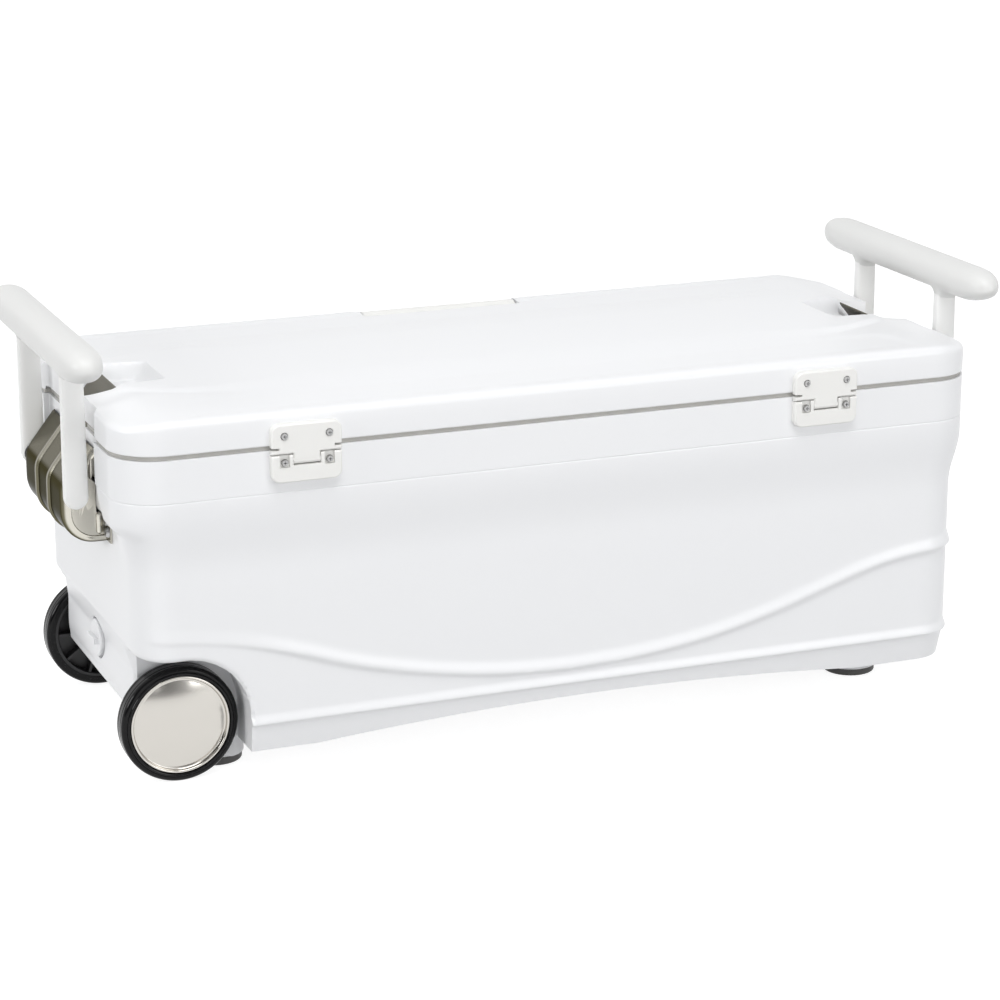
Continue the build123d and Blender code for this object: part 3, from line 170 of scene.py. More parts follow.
class Shader(Nodes):
    """The node tree of a material or of the world."""

    def __init__(self, owner: bpy.types.ID) -> None:
        """Give a new material or world its empty tree.

        Args:
            owner: The material or world.
        """
        owner.use_nodes = True
        self.owner = owner
        super().__init__(owner.node_tree)

    def place(self, stretch: Point = (1.0, 1.0, 1.0)) -> Socket:
        """Object coordinates, stretched by a factor along each axis."""
        where = self.get("ShaderNodeTexCoord", key="Object")
        return self.get("ShaderNodeMapping", {}, {"Vector": where, "Scale": stretch})

    def noise(self, where: Socket, scale: float, detail: float) -> Socket:
        """Noise of about that many cells to the metre."""
        return self.get("ShaderNodeTexNoise", {},
                        {"Vector": where, "Scale": scale, "Detail": detail})

    def blend(self, factor: Socket, low: Colour, high: Colour) -> Socket:
        """A colour between two, chosen by a factor."""
        return self.get("ShaderNodeMix", {"data_type": "RGBA"},
                        {"Factor_Float": factor, "A_Color": (*low, 1.0), "B_Color": (*high, 1.0)},
                        "Result_Color")

    def ramp(self, value: Socket, source: Pair, target: tuple[Any, Any] = (0.0, 1.0),
             kind: str = "LINEAR") -> Socket:
        """Carry a value from one range into another.

        Args:
            value: What is carried over.
            source: Its range.
            target: Ends of the new range, values or sockets.
            kind: Blender's name of the interpolation.

        Returns:
            The value in the new range.
        """
        return self.get("ShaderNodeMapRange", {"interpolation_type": kind},
                        {"Value": value, "From Min": source[0], "From Max": source[1],
                         "To Min": target[0], "To Max": target[1]})

    def edge(self, value: Socket, at: float, soft: float) -> Socket:
        """Soft step from 0 to 1 where a value passes a mark."""
        return self.ramp(value, (at - soft, at + soft), kind="SMOOTHSTEP")

    def bump(self, height: Socket, strength: float, distance: float) -> Socket:
        """A normal bent by a height."""
        return self.get("ShaderNodeBump", {},
                        {"Strength": strength, "Distance": distance, "Height": height})

    def ray(self, *kinds: str) -> Socket:
        """Whether a light path is of one of some kinds.

        Args:
            kinds: Blender's names of the kinds of ray.

        Returns:
            1 where one of them is true.
        """
        flags = [self.get("ShaderNodeLightPath", key=f"Is {kind} Ray") for kind in kinds]
        share = flags[0]
        for flag in flags[1:]:
            share = share.most(flag)
        return share

    def surface(self, sockets: dict[str, Any]) -> bpy.types.Material:
        """Close the tree with one Principled shader.

        Args:
            sockets: Inputs of the Principled shader.

        Returns:
            The finished material.
        """
        body = self.get("ShaderNodeBsdfPrincipled", {}, sockets)
        self.node("ShaderNodeOutputMaterial", {}, {"Surface": body})
        return self.owner


@dataclass(frozen=True)
class Finish:
    """What all finishes share: a name and a colour."""

    name: str
    colour: Colour

    def start(self) -> Shader:
        """An empty material tree of this name."""
        return Shader(bpy.data.materials.new(self.name))

    def toned(self, factor: float, lift: float = 0.0) -> Colour:
        """The colour times a factor, plus a lift."""
        return tuple(min(1.0, c * factor + lift) for c in self.colour)


@dataclass(frozen=True)
class Moulded(Finish):
    """Injection-moulded plastic with a faint flow mottle."""

    roughness: float = 0.3
    mottle: float = 0.003
    cloud: float = 6.0
    uneven: float = 0.02

    def material(self) -> bpy.types.Material:
        """Build the finish.

        Returns:
            The material.
        """
        shader = self.start()
        cloud = shader.noise(shader.place(), self.cloud, 0.5)
        return shader.surface({
            "Base Color": shader.blend(cloud, self.toned(1 - self.mottle), self.toned(1 + self.mottle)),
            "Roughness": self.roughness + self.uneven * (cloud - 0.5),
            "IOR": 1.5,
        })


@dataclass(frozen=True)
class Rubber(Finish):
    """Dark rubber with a soft sheen and a fine matt grain."""

    roughness: float = 0.42
    sheen: float = 0.5
    grain: float = 0.06
    dust: float = 40.0
    grain_scale: float = 900.0

    def material(self) -> bpy.types.Material:
        """Build the finish.

        Returns:
            The material.
        """
        shader = self.start()
        where = shader.place()
        dust = shader.noise(where, self.dust, 4.0)
        grain = shader.noise(where, self.grain_scale, 3.0)
        return shader.surface({
            "Base Color": shader.blend(dust ** 3.0, self.colour, self.toned(1.5, 0.002)),
            "Roughness": self.roughness + 0.08 * (dust - 0.5),
            "Specular IOR Level": self.sheen,
            "Normal": shader.bump(grain, self.grain, 0.0002),
        })


@dataclass(frozen=True)
class Satin(Finish):
    """Satin stainless sheet with fine rolling lines; an optional panel colour paints a darker field
    round its middle as a painted reflection, with painted highlights on its beads.
    """

    roughness: float = 0.26
    stretch: Point = (1.0, 0.03, 1.0)
    # The panel colour and the marks below paint light: a dark painted reflection on the web, a lighter
    # painted top and painted bead highlights.
    panel: Optional[Colour] = None
    painted_dark_half: float = 0.081
    painted_light_top: float = 0.302
    bead: float = 0.025
    bead_half: float = 0.0022
    rim_tint: float = 1.0
    lines: float = 1600.0
    cloud: float = 12.0

    def tint(self, shader: Shader, lines: Socket) -> Socket:
        """The colour with painted light: a darker painted reflection on the panel, painted highlights on
        its bead crests and a partly lighter painted top.

        Args:
            shader: The material's tree.
            lines: Its rolling lines.

        Returns:
            The colour.
        """
        if not self.panel:
            return shader.blend(lines, self.toned(0.96), self.colour)
        split = shader.node("ShaderNodeSeparateXYZ", {}, {"Vector": shader.place()})
        across = abs(Socket(shader, split.outputs["Y"]))
        # Inside the web's middle the panel colour is a painted dark reflection; outside it the plain
        # colour stays.
        sides = shader.edge(across, self.painted_dark_half, 0.0015)
        # Over the top of the web the colour is partly lightened: painted light.
        above = shader.edge(Socket(shader, split.outputs["Z"]), self.painted_light_top, 0.003)
        # A thin painted highlight along each bead crest.
        crest = 1.0 - shader.edge(abs(across - self.bead), self.bead_half, 0.0012)
        return shader.blend(sides.most(0.45 * above).most(crest), self.panel, self.colour)

    def material(self) -> bpy.types.Material:
        """Build the finish.

        Returns:
            The material.
        """
        shader = self.start()
        lines = shader.noise(shader.place(self.stretch), self.lines, 3.0)
        cloud = shader.noise(shader.place(), self.cloud, 1.0)
        return shader.surface({
            "Base Color": self.tint(shader, lines),
            "Metallic": 1.0,
            "Roughness": self.roughness + 0.06 * (lines - 0.5) + 0.02 * (cloud - 0.5),
            "Specular Tint": (self.rim_tint,) * 3 + (1.0,),
            "Normal": shader.bump(lines, 0.03, 0.0001),
        })


@dataclass(frozen=True)
class Spun(Finish):
    """Spun steel, smooth, with a faint change in its polish."""

    roughness: float = 0.2
    cloud: float = 9.0

    def material(self) -> bpy.types.Material:
        """Build the finish.

        Returns:
            The material.
        """
        shader = self.start()
        cloud = shader.noise(shader.place(), self.cloud, 1.0)
        return shader.surface({
            "Base Color": shader.blend(cloud, self.toned(0.99), self.colour),
            "Metallic": 1.0,
            "Roughness": self.roughness + 0.02 * (cloud - 0.5),
        })


@dataclass(frozen=True)
class Foam(Finish):
    """Rigid insulating foam with closed cells."""

    cells: float = 320.0

    def material(self) -> bpy.types.Material:
        """Build the finish.

        Returns:
            The material.
        """
        shader = self.start()
        cells = shader.get("ShaderNodeTexVoronoi", {}, {"Vector": shader.place(), "Scale": self.cells},
                           "Distance")
        return shader.surface({"Base Color": shader.blend(cells, self.toned(0.8), self.colour),
                               "Roughness": 0.9,
                               "Normal": shader.bump(cells, 0.3, 0.0006)})


class Finishes:
    """All materials of the cooler, by record slot."""

    def __init__(self) -> None:
        """Build every finish once."""
        self.cooler = Moulded("cooler_white", (0.86, 0.865, 0.875), 0.3).material()
        self.hinge = Moulded("hinge_white", (0.85, 0.845, 0.82), 0.30).material()
        # The grip's handle white is darkened, painted shade against the light it catches from above; the
        # posts' copy is lighter, painted light in their shade under the grip.
        self.handle = Moulded("handle_white", (0.75, 0.75, 0.735), 0.38).material()
        self.post = Moulded("handle_post_white", (0.91, 0.91, 0.895), 0.38).material()
        self.liner = Moulded("liner_white", (0.84, 0.845, 0.85), 0.25).material()
        self.foam = Foam("foam", (0.85, 0.80, 0.62)).material()
        self.seal = Rubber("seal_rubber", (0.055, 0.054, 0.052), 0.5).material()
        self.gasket = Rubber("gasket_grey", (0.42, 0.41, 0.385), 0.5).material()
        self.tyre = Rubber("tyre_black", (0.0045, 0.0045, 0.005), 0.13, 0.18, 0.006).material()
        self.hub = Moulded("hub_black", (0.012, 0.012, 0.013), 0.4, 0.2).material()
        # The steel's panel colour is a painted dark reflection on the bracket web, with painted bead
        # highlights.
        self.steel = Satin("stainless", (0.56, 0.54, 0.48), 0.22, panel=(0.136, 0.127, 0.086),
                           rim_tint=0.3).material()
        # A darker copy of the stainless steel, painted shade for the bracket tongue.
        self.steel_painted_shade = Satin("stainless_dark", (0.15, 0.14, 0.108), 0.34).material()
        self.cap = Spun("hubcap_steel", (0.54, 0.52, 0.485), 0.16).material()
        self.screw = Satin("fastener_steel", (0.42, 0.42, 0.42), 0.34, (1.0, 1.0, 1.0)).material()


class Maker:
    """Mesh helpers shared by the sub-assemblies. Sizes are in millimetres."""

    @staticmethod
    def link(name: str, data: bpy.types.ID) -> bpy.types.Object:
        """Put a new object with that data into the scene.

        Args:
            name: Object name.
            data: Its mesh, camera or light.

        Returns:
            The object.
        """
        made = bpy.data.objects.new(name, data)
        bpy.context.scene.collection.objects.link(made)
        return made

    @staticmethod
    def piece(name: str, points: Sequence[Any], faces: Sequence[Any]) -> bpy.types.Object:
        """Make a mesh object at the origin.

        Args:
            name: Piece name.
            points: Points in millimetres.
            faces: Point numbers of each face.

        Returns:
            The linked object.
        """
        mesh = bpy.data.meshes.new(name)
        mesh.from_pydata([tuple(float(c) * MM for c in p) for p in points], [],
                         [tuple(int(i) for i in f) for f in faces])
        mesh.validate()
        return Maker.link(name, mesh)

    @staticmethod
    def copy(node: str, name: str) -> bpy.types.Object:
        """A copy of a CAD node under a new name."""
        return Maker.link(name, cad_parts[node].data.copy())

    @staticmethod
    def bake(made: bpy.types.Object) -> bpy.types.Object:
        """Turn an object's modifiers into plain mesh.

        Args:
            made: The piece.

        Returns:
            The same piece.
        """
        graph = bpy.context.evaluated_depsgraph_get()
        mesh = bpy.data.meshes.new_from_object(made.evaluated_get(graph))
        made.modifiers.clear()
        made.data = mesh
        return made

    @staticmethod
    def modify(made: bpy.types.Object, kind: str, settings: dict[str, Any]) -> bpy.types.Object:
        """Run one modifier on an object and keep the plain mesh.

        Args:
            made: The piece.
            kind: Blender's name of the modifier.
            settings: Its properties.

        Returns:
            The same piece.
        """
        work = made.modifiers.new(kind.lower(), kind)
        for key, value in settings.items():
            setattr(work, key, value)
        return Maker.bake(made)

    @staticmethod
    def shade(made: bpy.types.Object, angle: float = 32.0) -> bpy.types.Object:
        """Shade smooth, with edges over an angle kept sharp.

        Args:
            made: The piece.
            angle: Angle in degrees.

        Returns:
            The same piece.
        """
        made.data.shade_smooth()
        made.data.set_sharp_from_angle(angle=math.radians(angle))
        return made

    @staticmethod
    def tidy(made: bpy.types.Object, gap: float = 0.002) -> bpy.types.Object:
        """Merge doubles and turn all faces outwards.

        Args:
            made: The piece.
            gap: Points closer than this are merged.

        Returns:
            The same piece.
        """
        work = bmesh.new()
        work.from_mesh(made.data)
        bmesh.ops.remove_doubles(work, verts=work.verts, dist=gap * MM)
        bmesh.ops.recalc_face_normals(work, faces=work.faces)
        work.to_mesh(made.data)
        work.free()
        return made

    @staticmethod
    def cut(made: bpy.types.Object, form: Form) -> bpy.types.Object:
        """Cut a solid, given by its points and faces, out of a piece.

        Args:
            made: The piece.
            form: Points and faces of the solid.

        Returns:
            The same piece.
        """
        cutter = Maker.tidy(Maker.piece("cutter", *form))
        Maker.modify(made, "BOOLEAN", {"operation": "DIFFERENCE", "solver": "MANIFOLD",
                                       "object": cutter})
        bpy.data.objects.remove(cutter)
        return made

    @staticmethod
    def thicken(made: bpy.types.Object, sheet: float) -> bpy.types.Object:
        """Give a surface a thickness on its inner side."""
        return Maker.modify(made, "SOLIDIFY", {"thickness": sheet * MM, "offset": -1.0})

    @staticmethod
    def from_node(node: str, name: str, width: float, steps: int = 2) -> bpy.types.Object:
        """Copy a CAD node, merge its triangles and round its edges.

        The weighted normals let large faces rule, so that flat faces stay flat beside rounded edges.

        Args:
            node: CAD node.
            name: Name of the new piece.
            width: Edge radius in millimetres.
            steps: Faces across each rounded edge.

        Returns:
            The new piece.
        """
        merge, flat, sharp = 0.004, 0.6, 30.0
        made = Maker.copy(node, name)
        work = bmesh.new()
        work.from_mesh(made.data)
        bmesh.ops.remove_doubles(work, verts=work.verts, dist=merge * MM)
        bmesh.ops.dissolve_limit(work, angle_limit=math.radians(flat), verts=work.verts,
                                 edges=work.edges)
        work.to_mesh(made.data)
        work.free()
        made.data.materials.clear()
        Maker.modify(made, "BEVEL", {"width": width * MM, "segments": steps, "limit_method": "ANGLE",
                                     "angle_limit": math.radians(sharp), "use_clamp_overlap": True})
        return Maker.modify(Maker.shade(made), "WEIGHTED_NORMAL", {"keep_sharp": True, "weight": 80})

    @staticmethod
    def slab(outline: Sequence[Pair], axis: str, low: float, high: float) -> Form:
        """A closed prism over an outline.

        Args:
            outline: Corners in the plane across the axis, in the order X, Y, Z.
            axis: "X", "Y" or "Z".
            low: Start along the axis.
            high: End along the axis.

        Returns:
            Points and faces.
        """
        order = {"X": (2, 0, 1), "Y": (0, 2, 1), "Z": (0, 1, 2)}[axis]
        count = len(outline)
        points = [tuple((a, b, level)[k] for k in order) for level in (low, high) for a, b in outline]
        faces: list[Any] = [list(range(count)), list(range(2 * count - 1, count - 1, -1))]
        faces += [(i, i + count, (i + 1) % count + count, (i + 1) % count) for i in range(count)]
        return points, faces

    @staticmethod
    def join(parts: Sequence[Form]) -> Form:
        """Put several sets of points and faces into one.

        Args:
            parts: Points and faces of each set.

        Returns:
            Points and faces.
        """
        points: list[Any] = []
        faces: list[Any] = []
        for more_points, more_faces in parts:
            shift = len(points)
            points += list(more_points)
            faces += [[i + shift for i in face] for face in more_faces]
        return points, faces

    @staticmethod
    def grid(rows: int, cols: int, ring: bool = False, loop: bool = False,
             flip: bool = False) -> list[Any]:
        """Faces between rows of points.

        Args:
            rows: Number of rows.
            cols: Points in a row.
            ring: Whether each row closes on itself.
            loop: Whether the last row joins the first.
            flip: Whether the faces look the other way.

        Returns:
            Faces by point numbers.
        """
        faces = []
        for i in range(rows if loop else rows - 1):
            here, there = i * cols, (i + 1) % rows * cols
            for j in range(cols if ring else cols - 1):
                after = (j + 1) % cols
                face = (here + j, here + after, there + after, there + j)
                faces.append(face[:1] + face[:0:-1] if flip else face)
        return faces

    @staticmethod
    def arc(centre: Pair, radius: float, degrees: Any) -> list[Pair]:
        """Points on a circle at some angles."""
        return [(centre[0] + radius * math.cos(a), centre[1] + radius * math.sin(a))
                for a in np.radians(degrees)]

    @staticmethod
    def turned(profile: Sequence[Pair], centre: Pair, count: int, closed: bool) -> Form:
        """Turn a profile about an axis along Y.

        Args:
            profile: (radius, y) points.
            centre: X and Z of the axis.
            count: Steps round the axis.
            closed: Whether the profile closes on itself.

        Returns:
            Points and faces.
        """
        points = [(centre[0] + radius * math.cos(angle), y, centre[1] + radius * math.sin(angle))
                  for angle in np.arange(count) * 2 * math.pi / count for radius, y in profile]
        return points, Maker.grid(count, len(profile), ring=closed, loop=True)


def smooth(value: Any, start: Any = 0.0, run: Any = 1.0) -> Any:
    """A soft step from 0 to 1 over a run from a start."""
    share = np.clip((value - start) / run, 0.0, 1.0)
    return share * share * (3 - 2 * share)


def bulge(value: Any, power: float) -> Any:
    """A value's size raised to a power, with its sign kept."""
    return np.copysign(np.abs(value) ** power, value)


def beyond(across: Any, along: Any) -> Any:
    """Distance outside a rectangle from the distances past its two pairs of sides."""
    outside = np.hypot(np.maximum(across, 0), np.maximum(along, 0))
    return outside + np.minimum(np.maximum(across, along), 0)


def fillet(distance: Any, radius: Any) -> Any:
    """How far a rounded edge falls away at a distance inside it, 0 beyond its radius."""
    short = radius - np.clip(distance, 0, radius)
    return radius - np.sqrt(np.maximum(radius ** 2 - short ** 2, 0))


def dress(made: bpy.types.Object, finish: bpy.types.Material, slot: str, body: str,
          *nodes: str) -> bpy.types.Object:
    """Give a new piece its finish and its body.

    Args:
        made: The piece.
        finish: Its material.
        slot: The record's material slot; not used.
        body: The body that it rides on.
        nodes: CAD nodes that it stands for.

    Returns:
        The piece.
    """
    made.data.materials.clear()
    made.data.materials.append(finish)
    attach(made, body)
    if nodes:
        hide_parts(*nodes)
    LOG.info("%s rides on %s, %d faces", made.name, body, len(made.data.polygons))
    return made


def show(finish: bpy.types.Material, slot: str, *nodes: str) -> None:
    """Give CAD nodes that are shown as they are a finish.

    Args:
        finish: Their material.
        slot: The record's material slot; not used.
        nodes: CAD nodes.
    """
    for node in nodes:
        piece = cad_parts[node]
        piece.data.materials.clear()
        piece.data.materials.append(finish)
        LOG.info("%s shown as built", node)


class GeometryTree(Nodes):
    """A Geometry Nodes tree with named inputs."""

    def __init__(self, name: str, inputs: dict[str, str]) -> None:
        """Start a tree.

        Args:
            name: Tree name.
            inputs: Kind of each named input besides the finish: Float, Int or Vector.
        """
        super().__init__(bpy.data.node_groups.new(name, "GeometryNodeTree"))
        face = self.tree.interface
        for way in ("INPUT", "OUTPUT"):
            face.new_socket(name="Geometry", in_out=way, socket_type="NodeSocketGeometry")
        for label, kind in {**inputs, "Finish": "Material"}.items():
            face.new_socket(name=label, in_out="INPUT", socket_type=f"NodeSocket{kind}")
        self.entry = self.tree.nodes.new("NodeGroupInput")

    def given(self, label: str) -> Socket:
        """The tree's own input of that name."""
        return Socket(self, self.entry.outputs[label])

    def vector(self, x: Any = 0.0, y: Any = 0.0, z: Any = 0.0) -> Socket:
        """A vector of three values or sockets."""
        return self.get("ShaderNodeCombineXYZ", {}, {0: x, 1: y, 2: z})

    def moved(self, geometry: Socket, by: Socket, turn: Point = (0.0, 0.0, 0.0)) -> Socket:
        """A geometry turned and then moved."""
        return self.get("GeometryNodeTransform", {},
                        {"Geometry": geometry, "Translation": by, "Rotation": turn})

    def repeat(self, points: Socket, instance: Socket, turn: Socket) -> Socket:
        """A geometry set on points, turned by angles."""
        turned = self.get("FunctionNodeEulerToRotation", {}, {0: turn})
        return self.get("GeometryNodeInstanceOnPoints", {},
                        {"Points": points, "Instance": instance, "Rotation": turned})

    def close(self, geometry: Socket) -> None:
        """Realize the instances, set the finish and end the tree.

        Args:
            geometry: What the tree has made.
        """
        real = self.get("GeometryNodeRealizeInstances", {}, {0: geometry})
        coated = self.get("GeometryNodeSetMaterial", {},
                          {"Geometry": real, "Material": self.given("Finish")})
        self.node("NodeGroupOutput", {}, {0: coated})

    def apply(self, made: bpy.types.Object, values: dict[str, Any]) -> bpy.types.Object:
        """Run the tree on an object and keep the plain mesh.

        Args:
            made: Object whose mesh feeds the tree.
            values: Values of the named inputs.

        Returns:
            The object with the tree's result.
        """
        run = made.modifiers.new("nodes", "NODES")
        run.node_group = self.tree
        for item in self.tree.interface.items_tree:
            if item.item_type == "SOCKET" and item.in_out == "INPUT" and item.name in values:
                run[item.identifier] = values[item.name]
        return Maker.bake(made)


class ScrewTree(GeometryTree):
    """Cross-head screws at the points of a mesh."""

    def __init__(self) -> None:
        """Build the tree: head, recess and shank on every point."""
        super().__init__("screw_set", {
            "Head radius": "Float", "Head height": "Float", "Shank radius": "Float",
            "Shank length": "Float", "Cross width": "Float", "Turn": "Vector"})
        radius, height = self.given("Head radius"), self.given("Head height")
        length = self.given("Shank length")
        head = self.get("GeometryNodeMeshCone", {},
                        {"Vertices": 28, "Radius Top": radius * 0.78, "Radius Bottom": radius,
                         "Depth": height})
        size = self.vector(radius * 1.05, self.given("Cross width"), height)
        bar = self.get("GeometryNodeMeshCube", {}, {"Size": size})
        bars = [self.moved(bar, self.vector(z=height), (0.0, 0.0, turn)) for turn in (0.0, math.pi / 2)]
        slotted = self.get("GeometryNodeMeshBoolean", {"operation": "DIFFERENCE"}, {0: head, 1: bars})
        shank = self.get("GeometryNodeMeshCylinder", {},
                         {"Vertices": 16, "Radius": self.given("Shank radius"), "Depth": length})
        low = self.moved(shank, self.vector(z=length * -0.5))
        whole = self.get("GeometryNodeJoinGeometry", {}, {0: [low, slotted]})
        self.close(self.repeat(self.given("Geometry"), whole, self.given("Turn")))


class SpokeTree(GeometryTree):
    """Ribs set round a wheel's axis."""

    def __init__(self) -> None:
        """Build the tree: one bar copied round the axis on the points of a circle."""
        super().__init__("hub_ribs", {"Count": "Int", "Radius": "Float", "Bar": "Vector",
                                      "Centre": "Vector"})
        ring = self.get("GeometryNodeMeshCircle", {},
                        {"Vertices": self.given("Count"), "Radius": self.given("Radius")})
        bar = self.get("GeometryNodeMeshCube", {}, {"Size": self.given("Bar")})
        split = self.node("ShaderNodeSeparateXYZ", {}, {0: self.get("GeometryNodeInputPosition")})
        x, y = Socket(self, split.outputs[0]), Socket(self, split.outputs[1])
        spots = self.repeat(ring, bar, self.vector(z=y.math("ARCTAN2", y, x)))
        self.close(self.moved(spots, self.given("Centre"), (math.pi / 2, 0.0, 0.0)))


@dataclass
class Shell:
    """The outer body: straight rim line, waist, wave rib, skirt and wheel wells."""

    half_length: float = 480.0
    half_width: float = 203.0
    corner: float = 50.0
    top_z: float = 306.0
    seam: float = 0.9
    seam_run: float = 1.6
    waist_z: float = 252.0
    waist: float = 9.0
    side_waist: float = 7.0
    waist_drop: float = 24.0
    drop_y: float = 105.0
    drop_run: float = 35.0
    corner_loss: float = 5.0
    ridge_z: float = 57.6
    ridge: float = 2.6
    ridge_rise: float = 3.0
    ridge_fade: float = 11.0
    skirt_in: float = 0.6
    taper: float = 5.0
    belly_z: float = 30.0
    arch_rise: float = 14.0
    arch_middle: float = 35.0
    arch_half: float = 310.0
    rib: float = 3.2
    rib_above: float = 15.0
    rib_below: float = 4.5
    rib_faint: float = 0.3
    rib_x: float = -390.0
    rib_run: float = 110.0
    wheel_x: float = -416.5
    arch_z: float = 69.5
    well_radius: float = 68.0
    well_y: float = 141.0
    well_far: Pair = (-520.0, 260.0)
    bevel_x: float = -452.5
    bevel_run: float = 13.5
    bevel_y: float = 112.0
    lip: float = 5.0
    lip_share: float = 0.8
    tail_z: float = 143.0
    tail_depth: float = 26.0
    tail_round: float = 45.0
    tail_recess_low: float = 97.0
    recess: float = 9.0
    recess_half: float = 150.0
    recess_low: float = 136.0
    recess_high: float = 270.0
    recess_corner: float = 40.0
    recess_soft: float = 14.0
    recess_softer: float = 30.0
    recess_fade: float = 60.0
    bay: float = 6.0
    bay_half: float = 106.0
    drain_x: float = -450.0
    drain_z: float = 107.0
    drain_radius: float = 23.0
    room: tuple[Pair, ...] = ((-450.0, 330.0), (-450.0, 151.0), (-340.0, 151.0), (-340.0, 60.0),
                              (450.0, 60.0), (450.0, 330.0))
    room_half: float = 178.0
    outside_x: float = -530.0
    below_z: float = -20.0

    def crest(self, x: np.ndarray) -> np.ndarray:
        """Height of the wave rib's crest along the length: a line through marks, made soft.

        Args:
            x: Places along the length.

        Returns:
            Heights.
        """
        marks_x = (-470, -420, -360, -300, -240, -160, -80, 0, 80, 160, 240, 320, 370, 420, 470)
        marks_z = (161, 159, 150, 134, 112, 93, 81, 77, 80, 90, 109, 135.5, 151, 158, 160)
        reach, spread = 60, 22.0
        fine = np.linspace(marks_x[0], marks_x[-1], marks_x[-1] - marks_x[0] + 1)
        line = np.interp(fine, marks_x, marks_z)
        weight = np.exp(-0.5 * (np.arange(-reach, reach + 1) / spread) ** 2)
        padded = np.pad(line, reach, "edge")
        return np.interp(x, fine, np.convolve(padded, weight / weight.sum(), "valid"))

    def columns(self) -> tuple[np.ndarray, np.ndarray]:
        """Which stretch of the half outline each column is on, and how far along.

        Returns:
            Stretch numbers and shares.
        """
        bay = (self.bay_half + np.array([-2.0, -0.3, 0.3, 2.0])) / (self.half_width - self.corner)
        end = np.unique(np.concatenate([np.linspace(0, 1, 31), bay]))
        bend = np.linspace(0, 1, 15)[1:-1]
        run = np.concatenate([np.linspace(0, 0.15, 34), np.linspace(0.15, 1, 92)[1:]])
        parts = [(0, end), (1, bend), (2, run), (3, bend), (4, 1 - end[::-1])]
        which = np.concatenate([np.full(len(f), s) for s, f in parts])
        along = np.concatenate([f for _, f in parts])
        return which, along

    def outline(self, which: np.ndarray, along: np.ndarray,
                inset: np.ndarray) -> tuple[np.ndarray, np.ndarray]:
        """X and Y of points on the hinge-side half outline, pulled in by an inset.

        Args:
            which: Stretch number of each point.
            along: Share of the stretch.
            inset: Distance inside the lid's outline.

        Returns:
            X and Y.
        """
        corner = self.corner - inset * self.corner_loss / self.waist
        end = self.half_length - inset
        side = self.half_width - inset
        run = end - corner
        reach = side - corner
        turn = np.radians(90 * along)
        stretch = [which == number for number in range(4)]
        x = np.select(stretch, [-end, -run - corner * np.cos(turn), -run + 2 * run * along,
                                run + corner * np.sin(turn)], end)
        y = np.select(stretch, [-reach * along, -reach - corner * np.sin(turn), -side,
                                -reach - corner * np.cos(turn)], -reach * (1 - along))
        return x, y

    @staticmethod
    def facing(which: np.ndarray, along: np.ndarray) -> np.ndarray:
        """Share of each column's normal that points along the length."""
        turn = np.radians(90 * along)
        return np.select([which == 0, which == 1, which == 3, which == 4],
                         [1.0, np.cos(turn) ** 2, np.sin(turn) ** 2, 1.0], 0.0)

    def inset(self, x: np.ndarray, y: np.ndarray, z: np.ndarray, which: np.ndarray,
              along: np.ndarray) -> np.ndarray:
        """How far each point of the wall lies inside the lid's outline.

        Args:
            x: Place along the length.
            y: Place across.
            z: Height.
            which: Stretch number of each point.
            along: Share of the stretch.

        Returns:
            Distances inside the outline.
        """
        facing = self.facing(which, along)
        edge = smooth(np.abs(y), self.drop_y, self.drop_run)
        start = self.top_z - 3.0 - self.waist_drop * facing * edge
        low = self.waist_z - self.waist_drop * edge
        waist = self.side_waist + (self.waist - self.side_waist) * facing
        depth = waist * smooth(start - z, 0.0, start - low)
        depth = depth + self.seam * smooth(z, self.top_z - self.seam_run, self.seam_run)
        over = z - self.ridge_z
        rise = smooth(over, 0.0, self.ridge_rise)
        below = -self.skirt_in + (self.taper - self.skirt_in) * over / (self.ridge_z - self.belly_z)
        above = self.ridge * (1 - smooth(over, self.ridge_rise, self.ridge_fade))
        depth = depth - np.select([over < 0, over > self.ridge_rise], [below, above],
                                  self.ridge * rise - self.skirt_in * (1 - rise))
        rise = z - self.crest(x)
        bead = np.where(rise > 0, 1 - smooth(rise / self.rib_above), smooth(1 + rise / self.rib_below))
        fade = np.select([which == 0, which == 1], [0.0, self.rib_faint * smooth(along, 0.35, 0.65)],
                         self.rib_faint + (1 - self.rib_faint) * smooth(x, self.rib_x, self.rib_run))
        depth = depth - self.rib * bead * fade
        arch = np.where(x > self.wheel_x, np.hypot(x - self.wheel_x, z - self.arch_z),
                        z - self.arch_z) - self.well_radius
        near_well = (np.abs(y) > self.well_y + 2) & (x < self.wheel_x + 2 * self.well_radius)
        return depth + np.where(near_well, self.lip_share * fillet(arch, self.lip), 0.0)

    def push(self, x: np.ndarray, y: np.ndarray, z: np.ndarray,
             facing: np.ndarray) -> np.ndarray:
        """How much further in the end walls lie: recesses and the leaning, rounded tail.

        Args:
            x: Place along the length.
            y: Place across.
            z: Height.
            facing: Share of the normal along the length.

        Returns:
            Distances inwards.
        """
        tail = x < 0
        low = np.where(tail, self.tail_recess_low, self.recess_low)
        wide = np.where(tail, 2 * self.half_width, self.recess_half)
        tall = (self.recess_high - low) / 2
        away = beyond(np.abs(y) - wide + self.recess_corner,
                      np.abs(z - (low + self.recess_high) / 2) - tall + self.recess_corner)
        soft = smooth(low + self.recess_fade - z, 0.0, self.recess_fade)
        soft = self.recess_soft + self.recess_softer * soft
        depth = self.recess * smooth(0.5 - (away - self.recess_corner) / soft)
        lean = self.tail_depth * np.clip((self.tail_z - z) / (self.tail_z - self.belly_z), 0, 1)
        bend = fillet(z - self.belly_z, self.tail_round)
        return facing * (depth + tail * (lean + bend))

